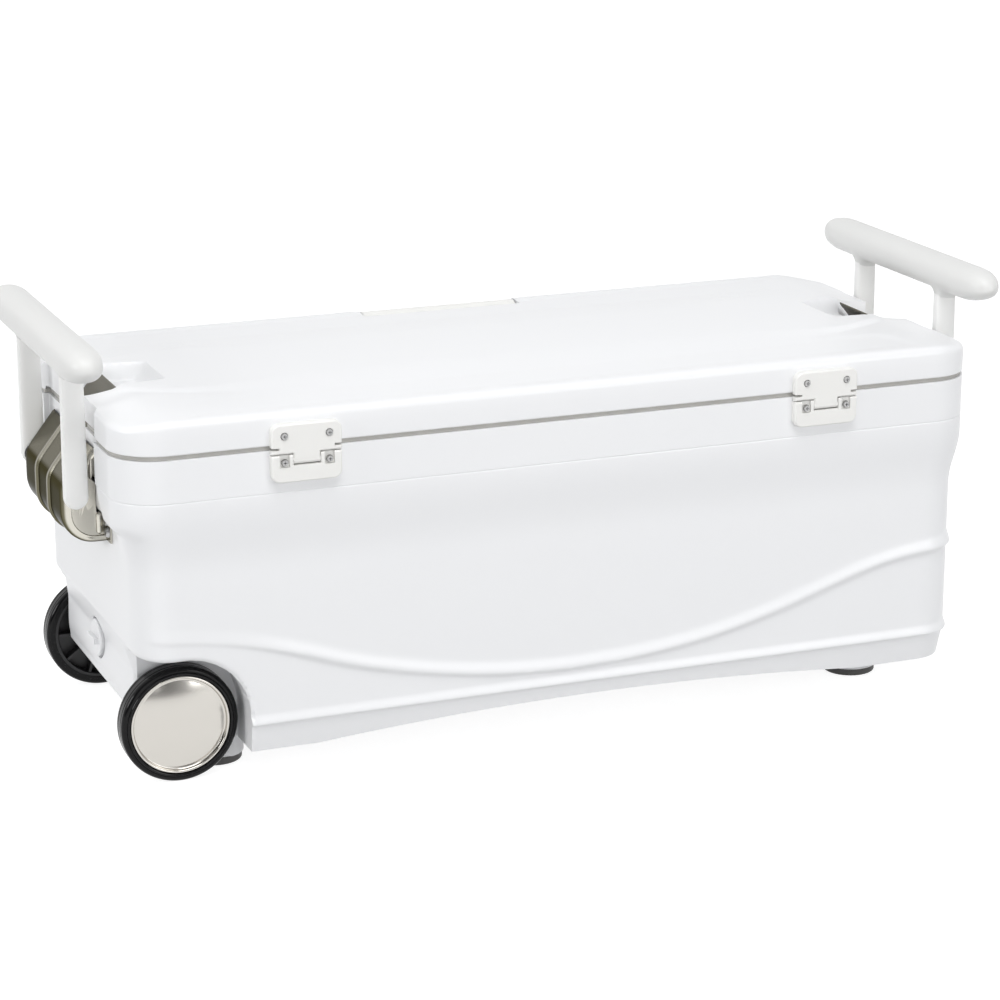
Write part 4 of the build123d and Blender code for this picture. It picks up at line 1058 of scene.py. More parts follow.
    def levels(self, x: np.ndarray) -> list[np.ndarray]:
        """Heights of the rows of points, straight above the ridge and arched below it.

        Args:
            x: Place of each column along the length.

        Returns:
            Heights, row by row.
        """
        upper = np.concatenate([
            [306.0, 305.5, 305.0, 304.2, 303.0], np.arange(300.0, 252.0, -4.0),
            np.arange(250.0, 184.0, -6.0), np.arange(183.0, 76.0, -2.0),
            np.arange(75.0, 57.7, -1.0)])
        lower = np.sin(np.linspace(0, math.pi / 2, 15))
        arch = self.arch_rise * (1 - ((x - self.arch_middle) / self.arch_half) ** 2)
        belly = self.belly_z + np.clip(arch, 0, None)
        return ([np.full(len(x), level) for level in upper]
                + [self.ridge_z + (belly - self.ridge_z) * share for share in lower])

    def skin(self) -> Form:
        """The closed outer form before the wells and the inside are cut.

        Returns:
            Points and faces.
        """
        which, along = self.columns()
        count = len(which)
        nominal_x, nominal_y = self.outline(which, along, np.full(count, self.waist))
        rows = self.levels(nominal_x)
        points: list[Any] = []
        facing = self.facing(which, along)
        end = int(np.argmin(nominal_x))
        in_bay = (np.abs(nominal_y) < self.bay_half) & np.isin(which, (0, 4))
        for z in rows:
            inset = self.inset(nominal_x, nominal_y, z, which, along)
            push = self.push(nominal_x, nominal_y, z, facing)
            push = np.where(in_bay & (z > self.recess_high - 8),
                            np.maximum(push, self.bay - inset), push)
            x, y = self.outline(which, along, inset)
            x = x - np.sign(x) * push
            x = np.where((x < 0) & (z < self.drain_z), np.maximum(x, x[end]), x)
            near = list(zip(x, y, z))
            points += near + [(a, -b, c) for a, b, c in near[-2:0:-1]]
        ring = 2 * count - 2
        faces = Maker.grid(len(rows), ring, ring=True, flip=True)
        base = (len(rows) - 1) * ring
        for k in range(count - 1):
            mirror = (ring - k) % ring
            after = ring - k - 1
            low = [base + k, base + mirror, base + after, base + k + 1]
            top = [k + 1, after, mirror, k]
            faces += [list(dict.fromkeys(face)) for face in (low, top)]
        return points, [f for f in faces if len(f) > 2]

    def wells(self) -> list[Form]:
        """Solids of the wheel wells and of the bevels on the tail wall beside the tyres.

        Returns:
            Points and faces of each solid.
        """
        roof = self.arch_z + self.well_radius
        far_x, far_y = self.well_far
        sweep = Maker.arc((self.wheel_x, self.arch_z), self.well_radius, np.linspace(0, 90, 24))
        outline = [(self.wheel_x + self.well_radius, self.below_z)] + sweep
        outline += [(far_x, roof), (far_x, self.below_z)]
        solids = []
        for side in Side:
            s = side.value
            solids.append(Maker.slab(outline, "Y", *sorted((s * self.well_y, s * far_y))))
            edge, inner = s * (self.well_y + 0.5), s * self.bevel_y
            wedge = [(self.bevel_x - self.bevel_run, inner), (self.bevel_x, edge),
                     (self.outside_x, edge), (self.outside_x, inner)]
            solids.append(Maker.slab(wedge, "Z", self.below_z, roof))
        return solids

    def build(self) -> bpy.types.Object:
        """Build the shell as one piece.

        Returns:
            The shell.
        """
        made = Maker.tidy(Maker.piece("shell_body", *self.skin()))
        room = Maker.slab(self.room, "Y", -self.room_half, self.room_half)
        ring = Maker.arc((0.0, self.drain_z), self.drain_radius, np.arange(0, 360, 5))
        pocket = Maker.slab(ring, "X", self.outside_x, self.drain_x)
        for form in self.wells() + [room, pocket]:
            Maker.cut(made, form)
        return Maker.shade(made, 38.0)


@dataclass
class LidTop:
    """The lid cover: rounded edge, barrel panel, side channels and finger dips."""

    half_length: float = 480.0
    half_width: float = 203.0
    corner: float = 50.0
    low_z: float = 354.2
    top_z: float = 388.0
    side_round: float = 8.5
    end_round: float = 6.0
    end_droop: float = 5.0
    end_x: float = 430.0
    droop_run: float = 44.0
    panel: float = 3.6
    panel_run: float = 16.0
    crisp_x: float = 230.0
    crisp_run: float = 160.0
    crisp_loss: float = 0.80
    slope_in: float = 42.0
    slope_run: float = 64.0
    channel: float = 1.1
    channel_inner: Pair = (112.0, 22.0)
    channel_outer: Pair = (178.0, 10.0)
    channel_x: float = 388.0
    channel_y: float = 125.0
    channel_slant: float = 0.35
    channel_run: float = 22.0
    dip: float = 15.0
    dip_inner: float = 385.0
    dip_floor: float = 398.0
    dip_half: float = 40.0
    dip_flare: float = 6.0
    dip_run: float = 51.0
    dip_lip: float = 6.5
    dip_wall: float = 7.5
    slot_x: float = 436.0
    slot_half: float = 46.0
    bay_x: float = 474.0
    bay_half: float = 106.0
    latch_half: float = 94.0
    latch_y: float = 171.0
    outside: Pair = (530.0, 260.0)
    through_z: Pair = (330.0, 430.0)
    hem: tuple[Pair, ...] = ((14.0, 0.0), (2.4, 0.0), (1.8, 0.0), (1.2, 0.0), (0.4, 0.4), (0.0, 1.2),
                             (0.0, 3.0), (3.4, 3.0))

    def panel_edge(self, x: np.ndarray) -> np.ndarray:
        """Half width of the raised panel along the length."""
        return np.interp(np.abs(x), (0, 250, 330, 364, 389, 411, 440),
                         (104, 104, 102, 96, 86, 76, 63))

    def height(self, x: np.ndarray, y: np.ndarray, edge: np.ndarray,
               endwise: np.ndarray) -> np.ndarray:
        """Height of the top surface.

        Args:
            x: Place along the length.
            y: Place across.
            edge: Distance from the outline.
            endwise: Share of the outline's normal that points along the length.

        Returns:
            Heights.
        """
        far, wide = np.abs(x), np.abs(y)
        radius = self.side_round + (self.end_round - self.side_round) * endwise
        top = self.top_z - fillet(edge, radius)
        top = top - self.end_droop * smooth(far, self.end_x, self.droop_run)
        crisp = 1 - self.crisp_loss * smooth(far, self.crisp_x, self.crisp_run)
        slope = smooth(wide, self.panel_edge(x) - self.slope_in * crisp, self.slope_run * crisp)
        ends = 1 - smooth(far, self.end_x, self.panel_run)
        top = top + self.panel * (1 - slope) * ends
        slant = self.channel_x + self.channel_slant * (wide - self.channel_y)
        groove = smooth(wide, *self.channel_inner) * (1 - smooth(wide, *self.channel_outer))
        top = top - self.channel * groove * (1 - smooth(far, slant, self.channel_run))
        half = self.dip_half + self.dip_flare * np.clip((far - self.dip_inner) / self.dip_run, 0, 1)
        ramp = smooth(far, self.dip_inner, self.dip_floor - self.dip_inner)
        wall = 1 - smooth(wide, half - self.dip_lip, self.dip_wall)
        return top - (self.dip + self.panel * ends) * ramp * wall

    @staticmethod
    def spread(half: float, marks: Sequence[float], fine: float, reach: float,
               coarse: float) -> np.ndarray:
        """Grid lines, close together near the edges.

        Args:
            half: Half the size.
            marks: First distances from the edge.
            fine: Spacing up to reach.
            reach: Distance from the edge with fine spacing.
            coarse: Spacing further in.

        Returns:
            Sorted places from -half to half.
        """
        steps = list(marks) + list(np.arange(marks[-1] + fine, reach, fine))
        inner = half - reach
        middle = np.linspace(-inner, inner, int(2 * inner / coarse) + 1)
        edge = half - np.array(steps)
        return np.unique(np.concatenate([-edge, middle, edge]))

    def top(self) -> tuple[np.ndarray, np.ndarray, np.ndarray]:
        """X, Y and Z of a grid over the top, with its corners drawn in to the round outline.

        Returns:
            The three coordinates, row by row.
        """
        marks = (0.0, 0.25, 0.8, 1.7, 3.0, 4.6, 6.6, 9.0, 11.5)
        dip = np.arange(30.0, 50.0, 1.5)
        xs = self.spread(self.half_length, marks, 2.6, 112.0, 11.0)
        ys = np.unique(np.concatenate([self.spread(self.half_width, marks, 3.0, 150.0, 6.0), dip, -dip]))
        gx, gy = np.meshgrid(xs, ys, indexing="ij")
        from_end = self.half_length - np.abs(gx)
        from_side = self.half_width - np.abs(gy)
        px = (np.abs(gx) - self.half_length + self.corner) / self.corner
        py = (np.abs(gy) - self.half_width + self.corner) / self.corner
        at_corner = (px > 0) & (py > 0)
        qx = np.where(at_corner, px * np.sqrt(np.maximum(1 - py ** 2 / 2, 0)), px)
        qy = np.where(at_corner, py * np.sqrt(np.maximum(1 - px ** 2 / 2, 0)), py)
        x = np.sign(gx) * (self.half_length - self.corner + qx * self.corner)
        y = np.sign(gy) * (self.half_width - self.corner + qy * self.corner)
        reach = np.hypot(qx, qy)
        edge = np.where(at_corner, self.corner * (1 - reach), np.minimum(from_end, from_side))
        endwise = np.where(at_corner, (qx / np.maximum(reach, 1e-6)) ** 2,
                           (from_end < from_side) * 1.0)
        return x, y, self.height(x, y, np.maximum(edge, 0), endwise)

    def build(self) -> bpy.types.Object:
        """Build the lid cover as one piece.

        Returns:
            The lid cover.
        """
        x, y, z = self.top()
        rows, cols = x.shape
        points = list(zip(x.ravel(), y.ravel(), z.ravel()))
        faces = Maker.grid(rows, cols, flip=True)
        border = ([i * cols for i in range(rows)]
                  + [(rows - 1) * cols + j for j in range(1, cols)]
                  + [i * cols + cols - 1 for i in range(rows - 2, -1, -1)]
                  + [j for j in range(cols - 2, 0, -1)])
        ring = len(border)
        before = border
        for up, inset in self.hem:
            start = len(points)
            for index in border:
                bx, by, _ = points[index]
                points.append((bx * (1 - inset / self.half_length),
                               by * (1 - inset / self.half_width), self.low_z + up))
            after = list(range(start, start + ring))
            for k in range(ring):
                ahead = (k + 1) % ring
                faces.append((before[k], after[k], after[ahead], before[ahead]))
            before = after
        faces.append(list(reversed(before)))
        made = Maker.tidy(Maker.piece("lid_cover_shell", points, faces))
        return Maker.shade(Maker.cut(made, self.openings()), 40.0)

    def openings(self) -> Form:
        """Solids of the end slots and bays and of the latch recess.

        Returns:
            Points and faces.
        """
        parts = []
        far_x, far_y = self.outside
        half = [(self.slot_x, self.slot_half), (self.bay_x, self.slot_half),
                (self.bay_x, self.bay_half - 4.0), (self.bay_x + 2.0, self.bay_half),
                (self.bay_x + 12.0, self.bay_half + 12.0), (far_x, self.bay_half + 12.0)]
        for end in End:
            s = end.value
            outline = [(s * x, -y) for x, y in half] + [(s * x, y) for x, y in half[::-1]]
            parts.append(Maker.slab(outline, "Z", *self.through_z))
        parts.append(Maker.slab([(-self.latch_half, self.latch_y), (self.latch_half, self.latch_y),
                                 (self.latch_half, far_y), (-self.latch_half, far_y)], "Z",
                                *self.through_z))
        return Maker.join(parts)


@dataclass
class Group:
    """A group of pieces that shares the cooler's finishes."""

    finishes: Finishes

    @staticmethod
    def rounded(node: str, name: str, width: float, finish: bpy.types.Material, slot: str, body: str,
                steps: int = 2) -> None:
        """Show a CAD node as a copy with rounded edges.

        Args:
            node: CAD node.
            name: Piece name.
            width: Edge radius in millimetres.
            finish: Its material.
            slot: The record's material slot.
            body: The body that it rides on.
            steps: Faces across each rounded edge.
        """
        dress(Maker.from_node(node, name, width, steps), finish, slot, body, node)


@dataclass
class Chest(Group):
    """The fixed body: shell, rim, liner, insulation, feet and drain.

    The wedge foam_edge takes off the foam's lower edge, for which the shell's rounded tail has no room.
    """

    foam_edge: tuple[Pair, ...] = ((-445.0, 62.8), (-445.0, 40.0), (-422.2, 40.0))
    foam_half: float = 210.0

    def build(self) -> None:
        """Build and dress all pieces of the chest."""
        f = self.finishes
        dress(Shell().build(), f.cooler, "cooler_white", "chest", "body_shell")
        self.rounded("rim_frame", "rim_band", 1.0, f.cooler, "cooler_white", "chest")
        self.rounded("foot_bosses", "foot_mounts", 1.2, f.cooler, "cooler_white", "chest")
        self.rounded("inner_liner", "liner_tub", 1.4, f.liner, "liner_white", "chest")
        self.rounded("foot_pads", "foot_rubbers", 0.8, f.seal, "seal_rubber", "chest")
        self.rounded("drain_tube", "drain_spout", 0.5, f.cooler, "hinge_white", "chest")
        self.rounded("drain_plug", "drain_knob", 1.2, f.cooler, "hinge_white", "drain")
        show(f.seal, "seal_rubber", "drain_gasket")
        foam = Maker.tidy(Maker.copy("insulation_core", "foam_fill"), 0.004)
        Maker.cut(foam, Maker.slab(self.foam_edge, "Y", -self.foam_half, self.foam_half))
        dress(foam, f.foam, "foam", "chest", "insulation_core")


@dataclass
class Lid(Group):
    """The lid: cover, inner panel, foam and gasket."""

    def build(self) -> None:
        """Build and dress all pieces of the lid."""
        f = self.finishes
        dress(LidTop().build(), f.cooler, "cooler_white", "lid", "lid_cover")
        self.rounded("lid_inner", "lid_plug", 1.4, f.liner, "liner_white", "lid")
        show(f.gasket, "seal_rubber", "lid_gasket")
        show(f.foam, "foam", "lid_foam")


@dataclass
class Hinges(Group):
    """The two square hinges with their pins."""

    edge: float = 1.0

    def build(self) -> None:
        """Build and dress the leaves and the pins."""
        f = self.finishes
        for end in ("rear", "front"):
            for part, body in (("lid", "lid"), ("body", "chest")):
                self.rounded(f"hinge_{part}_leaf_{end}", f"hinge_{part}_plate_{end}", self.edge, f.hinge,
                             "hinge_white", body, 3)
        show(f.screw, "fastener_steel", "hinge_pins")


@dataclass
class Latch(Group):
    """The wide latch lever, its pin and the keeper on the rim."""

    def build(self) -> None:
        """Build and dress the latch."""
        f = self.finishes
        self.rounded("latch_lever", "latch_bar", 1.6, f.hinge, "hinge_white", "latch", 3)
        self.rounded("latch_keeper", "latch_strip", 0.2, f.steel, "stainless", "chest")
        show(f.screw, "fastener_steel", "latch_pin")


@dataclass
class Bracket(Group):
    """One folded stainless bracket between the legs of a handle."""

    end: End
    half_width: float = 83.0
    sheet: float = 1.8
    fold: float = 9.0
    knee: tuple[Pair, ...] = ((476.0, 338.0), (500.8, 306.0), (503.8, 301.6), (505.8, 297.5),
                              (506.8, 293.5), (507.0, 289.0), (507.0, 270.0))
    bend_centre: Pair = (475.0, 270.0)
    bend_radius: float = 32.0
    foot: Pair = (463.0, 238.0)
    wall: tuple[Pair, ...] = ((463.0, 262.0), (474.3, 270.0), (474.3, 338.0))
    bead_y: float = 25.0
    bead_half: float = 6.0
    bead_rise: float = 2.2
    tongue_half: float = 40.0
    tongue_line: tuple[Pair, ...] = ((479.0, 334.0), (460.0, 358.6), (446.0, 376.7), (440.0, 384.4),
                                     (438.6, 386.0), (437.2, 386.6), (436.9, 385.4), (438.0, 383.4),
                                     (441.0, 379.6))
    cheek_beads: tuple[Point, ...] = ((471.5, 246.0, 270.0), (477.5, 304.0, 328.0))
    cheek_bead: float = 3.6
    flange_y: Pair = (81.5, 98.0)
    flange_x: Pair = (462.3, 464.3)

    def profile(self) -> np.ndarray:
        """Side line of the web from the shoulder under the lid down to the wall.

        Returns:
            X and Z of points at equal steps.
        """
        bend = Maker.arc(self.bend_centre, self.bend_radius, -np.linspace(8, 90, 14))
        line = np.array([*self.knee, *bend, self.foot])
        length = np.concatenate([[0], np.cumsum(np.hypot(*np.diff(line, axis=0).T))])
        at = np.linspace(0, length[-1], 64)
        return np.stack([np.interp(at, length, line[:, 0]), np.interp(at, length, line[:, 1])], 1)

    def pan(self) -> Form:
        """The web with its beads, folded round into the two cheeks.

        Returns:
            Points and faces.
        """
        line = self.profile()
        step = np.gradient(line, axis=0)
        step /= np.hypot(step[:, 0], step[:, 1])[:, None]
        out = np.stack([-step[:, 1], step[:, 0]], 1)
        flat = self.half_width - self.fold
        across = np.linspace(-6.5, 6.5, 14)
        ys = np.unique(np.concatenate([np.linspace(-flat, flat, 31), across - self.bead_y,
                                       across + self.bead_y]))
        lifts = self.bead_rise * smooth(1.25 * (1 - np.abs(np.abs(ys) - self.bead_y) / self.bead_half))
        turn = np.linspace(0, 90, 8)[1:]
        section = Maker.arc((-flat, -self.fold), self.fold, 90 + turn[::-1])
        section += list(zip(ys, lifts)) + Maker.arc((flat, -self.fold), self.fold, 90 - turn)
        points: list[Any] = [(x + nx * lift, y, z + nz * lift)
                             for (x, z), (nx, nz) in zip(line, out) for y, lift in section]
        rows, cols = len(line), len(section)
        faces = Maker.grid(rows, cols)
        for column, y in ((0, -self.half_width), (cols - 1, self.half_width)):
            edge = [i * cols + column for i in range(rows)]
            first = len(points)
            points += [(x, y, z) for x, z in self.wall]
            loop = edge + list(range(first, len(points)))
            faces.append(loop if y > 0 else loop[::-1])
        return points, faces

    def tongue(self) -> Form:
        """The narrow tongue that stands up into the lid's slot, with a hemmed edge.

        Returns:
            Points and faces.
        """
        ys = np.linspace(-self.tongue_half, self.tongue_half, 17)
        points = [(x, y, z) for x, z in self.tongue_line for y in ys]
        return points, Maker.grid(len(self.tongue_line), len(ys))

    def stiffeners(self) -> list[Form]:
        """Short raised beads on the cheeks beside the wall.

        Returns:
            Points and faces of each bead.
        """
        parts = []
        shares, round_it = np.linspace(0, 1, 13), np.radians(np.linspace(0, 180, 9))
        for side in (-1, 1):
            for x, low, high in self.cheek_beads:
                points: list[Any] = []
                for share in shares:
                    z = low + (high - low) * share
                    size = self.cheek_bead * math.sqrt(max(0.0, 1 - (2 * share - 1) ** 8))
                    points += [(x + size * math.cos(a),
                                side * (self.half_width - 0.3 + 0.75 * size * math.sin(a)), z)
                               for a in round_it]
                faces = Maker.grid(len(shares), len(round_it))
                parts.append((points, faces if side < 0 else [f[::-1] for f in faces]))
        return parts

    def flanges(self) -> list[Form]:
        """The two feet that lie on the end wall.

        Returns:
            Points and faces of each foot.
        """
        parts = []
        for side in (-1, 1):
            low, high = sorted(side * y for y in self.flange_y)
            outline = [(low, 239.0), (high, 239.0), (high, 258.0), (high - 4, 264.0),
                       (low + 4, 264.0), (low, 258.0)]
            parts.append(Maker.slab(outline, "X", *self.flange_x))
        return parts

    def fold_up(self, name: str, form: Form,
                extra: Optional[bpy.types.Object] = None) -> bpy.types.Object:
        """Give a form the sheet's thickness and put it at this bracket's end.

        Args:
            name: Piece name.
            form: Points and faces of the sheet's outer side.
            extra: A solid that joins the piece, removed here.

        Returns:
            The piece.
        """
        made = Maker.thicken(Maker.piece(name, *form), self.sheet)
        work = bmesh.new()
        work.from_mesh(made.data)
        if extra:
            work.from_mesh(extra.data)
            bpy.data.objects.remove(extra)
        if self.end is End.REAR:
            for vert in work.verts:
                vert.co.x = -vert.co.x
            bmesh.ops.reverse_faces(work, faces=work.faces)
        work.to_mesh(made.data)
        work.free()
        return Maker.shade(made, 40.0)

    def build(self) -> None:
        """Build and dress the bracket."""
        f = self.finishes
        word = self.end.name.lower()
        extra = Maker.piece("extra", *Maker.join(self.stiffeners() + self.flanges()))
        sheet = self.fold_up(f"bracket_sheet_{word}", self.pan(), extra)
        # The sheet's steel carries a painted dark reflection on the web and painted highlights on the
        # beads.
        dress(sheet, f.steel, "stainless", "chest", f"bracket_{word}")
        tongue = self.fold_up(f"bracket_tongue_{word}", self.tongue())
        # The tongue takes the darker copy of the steel: painted shade.
        dress(tongue, f.steel_painted_shade, "stainless", "chest")
        show(f.screw, "fastener_steel", f"handle_pivots_{word}")
        show(f.hub, "hub_black", f"handle_washers_{word}")


@dataclass
class Handle(Group):
    """One T-shaped handle: a rounded grip on two flat legs."""

    end: End
    grip_x: float = 501.0
    grip_z: float = 441.0
    grip_half: float = 185.0
    grip_wide: float = 21.5
    grip_high: float = 18.5
    grip_power: float = 0.86
    nose: float = 46.0
    leg_x: float = 497.0
    leg_inner: float = 86.0
    leg_outer: float = 99.0
    leg_half: float = 12.5
    leg_top_half: float = 11.6
    leg_corner: float = 4.5
    leg_power: float = 0.45
    pivot_z: float = 291.0
    web_radius: float = 9.0

    def __post_init__(self) -> None:
        """Work out the middle and half the thickness of a leg."""
        self.middle = (self.leg_inner + self.leg_outer) / 2
        self.half_y = (self.leg_outer - self.leg_inner) / 2

    def web(self, x: np.ndarray, y: float) -> np.ndarray:
        """How far the grip's underside runs down to meet a leg."""
        away = beyond(np.abs(x - self.leg_x) - self.leg_top_half + self.leg_corner,
                      abs(abs(y) - self.middle) - self.half_y + self.leg_corner)
        return fillet(away - self.leg_corner, self.web_radius)

    def grip(self) -> Form:
        """The grip as rings along its length; its ends curl up from below.

        Returns:
            Points and faces.
        """
        body = self.grip_half - self.nose
        ends = self.nose * np.sin(np.radians(np.linspace(0, 90, 26)))
        near = np.arange(self.leg_inner - self.web_radius - 1,
                         self.leg_outer + self.web_radius + 1, 0.9)
        ys = np.unique(np.concatenate([-(body + ends), np.linspace(-body, body, 24), body + ends,
                                       near, -near]))
        turn = np.radians(np.concatenate([np.arange(0, 180, 9), np.arange(180, 360, 3)]))
        c, s = np.cos(turn), np.sin(turn)
        points: list[Any] = []
        for y in ys:
            share = float(np.clip((abs(y) - body) / self.nose, 0, 1))
            wide, above, below = (math.sqrt(max(0.0, 1 - share ** power)) for power in (2.6, 3.2, 1.9))
            px = self.grip_x + self.grip_wide * wide * bulge(c, self.grip_power)
            pz = self.grip_high * np.where(s > 0, above, below) * bulge(s, self.grip_power)
            drop = self.web(px, y) * smooth(-s / 0.35)
            points += [(a, float(y), b) for a, b in zip(px, self.grip_z + pz - drop)]
        return points, Maker.grid(len(ys), len(turn), ring=True)

    def leg(self, side: int) -> Form:
        """One leg: a flat bar, round at the foot, slimmer towards the grip.

        Args:
            side: -1 for the hinge side, 1 for the latch side.

        Returns:
            Points and faces.
        """
        foot = self.pivot_z - self.leg_half * np.cos(np.radians(np.linspace(0, 90, 14)))
        zs = np.concatenate([foot, np.linspace(self.pivot_z, self.grip_z - 6.0, 12)[1:]])
        turn = np.radians(np.arange(0, 360, 6))
        c, s = bulge(np.cos(turn), self.leg_power), bulge(np.sin(turn), self.leg_power)
        points: list[Any] = []
        for z in zs:
            drop = max(0.0, (self.pivot_z - z) / self.leg_half)
            round_off = math.sqrt(max(0.0, 1 - drop ** 2))
            slim = 0.35 * (1 - math.sqrt(max(0.0, 1 - max(0.0, drop - 0.55) ** 2 / 0.45 ** 2)))
            rise = max(0.0, (z - self.pivot_z) / (self.grip_z - self.pivot_z))
            half_x = (self.leg_half + (self.leg_top_half - self.leg_half) * rise) * round_off
            px = self.leg_x + max(half_x, 0.02) * c
            py = side * self.middle + self.half_y * (1 - slim) * s
            points += [(a, b, z) for a, b in zip(px, py)]
        cols = len(turn)
        faces = Maker.grid(len(zs), cols, ring=True)
        faces.append(list(range((len(zs) - 1) * cols, len(zs) * cols)))
        return points, faces

    def build(self) -> None:
        """Build and dress the grip and the legs."""
        word = self.end.name.lower()
        f = self.finishes
        # The grip takes the darkened painted-shade copy of the handle's white, the legs the lightened
        # painted-light copy.
        for name, parts, node, finish in (
                (f"grip_bar_{word}", [self.grip()], f"handle_grip_{word}", f.handle),
                (f"handle_posts_{word}", [self.leg(-1), self.leg(1)], f"handle_legs_{word}", f.post)):
            points, faces = Maker.join(parts)
            points = [(self.end.value * x, y, z) for x, y, z in points]
            made = Maker.shade(Maker.tidy(Maker.piece(name, points, faces)), 50.0)
            dress(made, finish, "handle_white", f"handle_{word}", node)


@dataclass
class Wheel(Group):
    """One wheel: rubber tyre, black hub with ribs and a domed steel hubcap."""

    side: Side
    spokes: SpokeTree
    centre: Pair = (-416.5, 61.5)
    radius: float = 61.5
    seat: float = 52.4
    outer: float = 171.0
    inner: float = 146.0
    shoulder: float = 5.0
    groove: float = 0.7
    bore: float = 6.06
    boss: float = 13.0
    roll: float = 1.55
    cap_sheet: float = 0.5
    rib_count: int = 10
    rib_middle: Pair = (30.7, 8.4)
    rib_size: Point = (36.0, 3.0, 11.6)

    def cut_line(self, y: float) -> list[Pair]:
        """Profile of one groove in the tread, from y on."""
        low = self.radius - self.groove
        return [(self.radius, y), (low, y + 0.4), (low, y + 1.4), (self.radius, y + 1.8)]

    def tyre_line(self) -> list[Pair]:
        """Closed profile of the tyre.

        Returns:
            (radius, y) points.
        """
        r, out, low, curve = self.radius, self.outer, self.inner, self.shoulder
        shoulder = Maker.arc((r - curve, out - 0.9 - curve), curve, 90 - np.linspace(14, 90, 12))
        back = Maker.arc((r - curve, low + curve), curve, -np.linspace(0, 84, 12))
        lip = [(self.seat + up, out - down) for up, down in (
            (0.0, 2.2), (0.5, 0.7), (1.5, 0.0), (2.6, 0.0), (3.2, 0.5), (3.5, 1.3), (3.9, 1.0))]
        return (lip + shoulder[:-1] + [(r, out - 6.2)] + self.cut_line(out - 9.8)[::-1]
                + self.cut_line(low + 7)[::-1] + back + [(self.seat, low)])

    def cap_line(self) -> list[Pair]:
        """Open profile of the hubcap from the axis to its rolled rim and back under.

        Returns:
            (radius, y) points.
        """
        out = self.outer
        dome = [(r, out + 1.4 - 6.2 * (r / 47.5) ** 2.0) for r in np.linspace(0.02, 47.2, 36)]
        rim = [(47.9, out - 4.75), (48.5, out - 4.2), (49.1, out - 2.9)]
        rim += Maker.arc((50.7, out - 2.2), self.roll, np.linspace(160, 0, 12))
        return dome + rim + [(self.seat - 0.15, out - 6.0)]

    def hub_line(self) -> list[Pair]:
        """Closed profile of the hub: bore, boss, web and rim.

        Returns:
            (radius, y) points.
        """
        seat = self.seat + 0.02
        low, face, end = self.inner + 1, self.outer - 7.2, self.outer - 9.8
        return [(self.bore, low), (self.boss - 1, low), (self.boss, low + 1), (self.boss, face - 4),
                (seat - 4, face - 4), (seat - 4, low + 1), (seat - 3.2, low), (seat, low),
                (seat, face), (self.boss, face), (self.boss, end), (self.bore, end)]

    def add(self, name: str, line: Sequence[Pair], closed: bool, count: int) -> bpy.types.Object:
        """Turn a profile into a piece on this wheel's side.

        Args:
            name: Piece name.
            line: (radius, y) points.
            closed: Whether the profile closes on itself.
            count: Steps round the axis.

        Returns:
            The piece.
        """
        points, faces = Maker.turned(line, self.centre, count, closed)
        points = [(x, self.side.value * y, z) for x, y, z in points]
        return Maker.tidy(Maker.piece(name, points, faces))

    def build(self) -> None:
        """Build and dress tyre, hub and hubcap."""
        f = self.finishes
        word = f"{self.side.name.lower()}_side"
        body = f"wheel_{word}"
        tyre = Maker.shade(self.add(f"tyre_{word}", self.tyre_line(), True, 128), 35.0)
        dress(tyre, f.tyre, "tyre_black", body, f"wheel_tyre_{word}")
        cap = Maker.thicken(self.add(f"cap_{word}", self.cap_line(), False, 128), self.cap_sheet)
        dress(Maker.shade(cap, 45.0), f.cap, "stainless", body, f"hubcap_{word}")
        hub = self.add(f"hub_{word}", self.hub_line(), True, 96)
        ribs = Maker.piece(f"hub_ribs_{word}", [(0, 0, 0)], [])
        radius, depth = self.rib_middle
        middle = self.side.value * (self.inner + depth)
        self.spokes.apply(ribs, {
            "Count": self.rib_count, "Radius": radius * MM, "Bar": tuple(s * MM for s in self.rib_size),
            "Centre": (self.centre[0] * MM, middle * MM, self.centre[1] * MM), "Finish": f.hub})
        dress(Maker.shade(hub, 30.0), f.hub, "hub_black", body, f"wheel_hub_{word}")
        dress(ribs, f.hub, "hub_black", body)


@dataclass
class Axle(Group):
    """The axle with its sleeve, spacers and clips."""

    def build(self) -> None:
        """Dress the axle's pieces."""
        show(self.finishes.screw, "fastener_steel", "axle", "axle_clips")
        show(self.finishes.hub, "hub_black", "axle_sleeve", "axle_spacers")


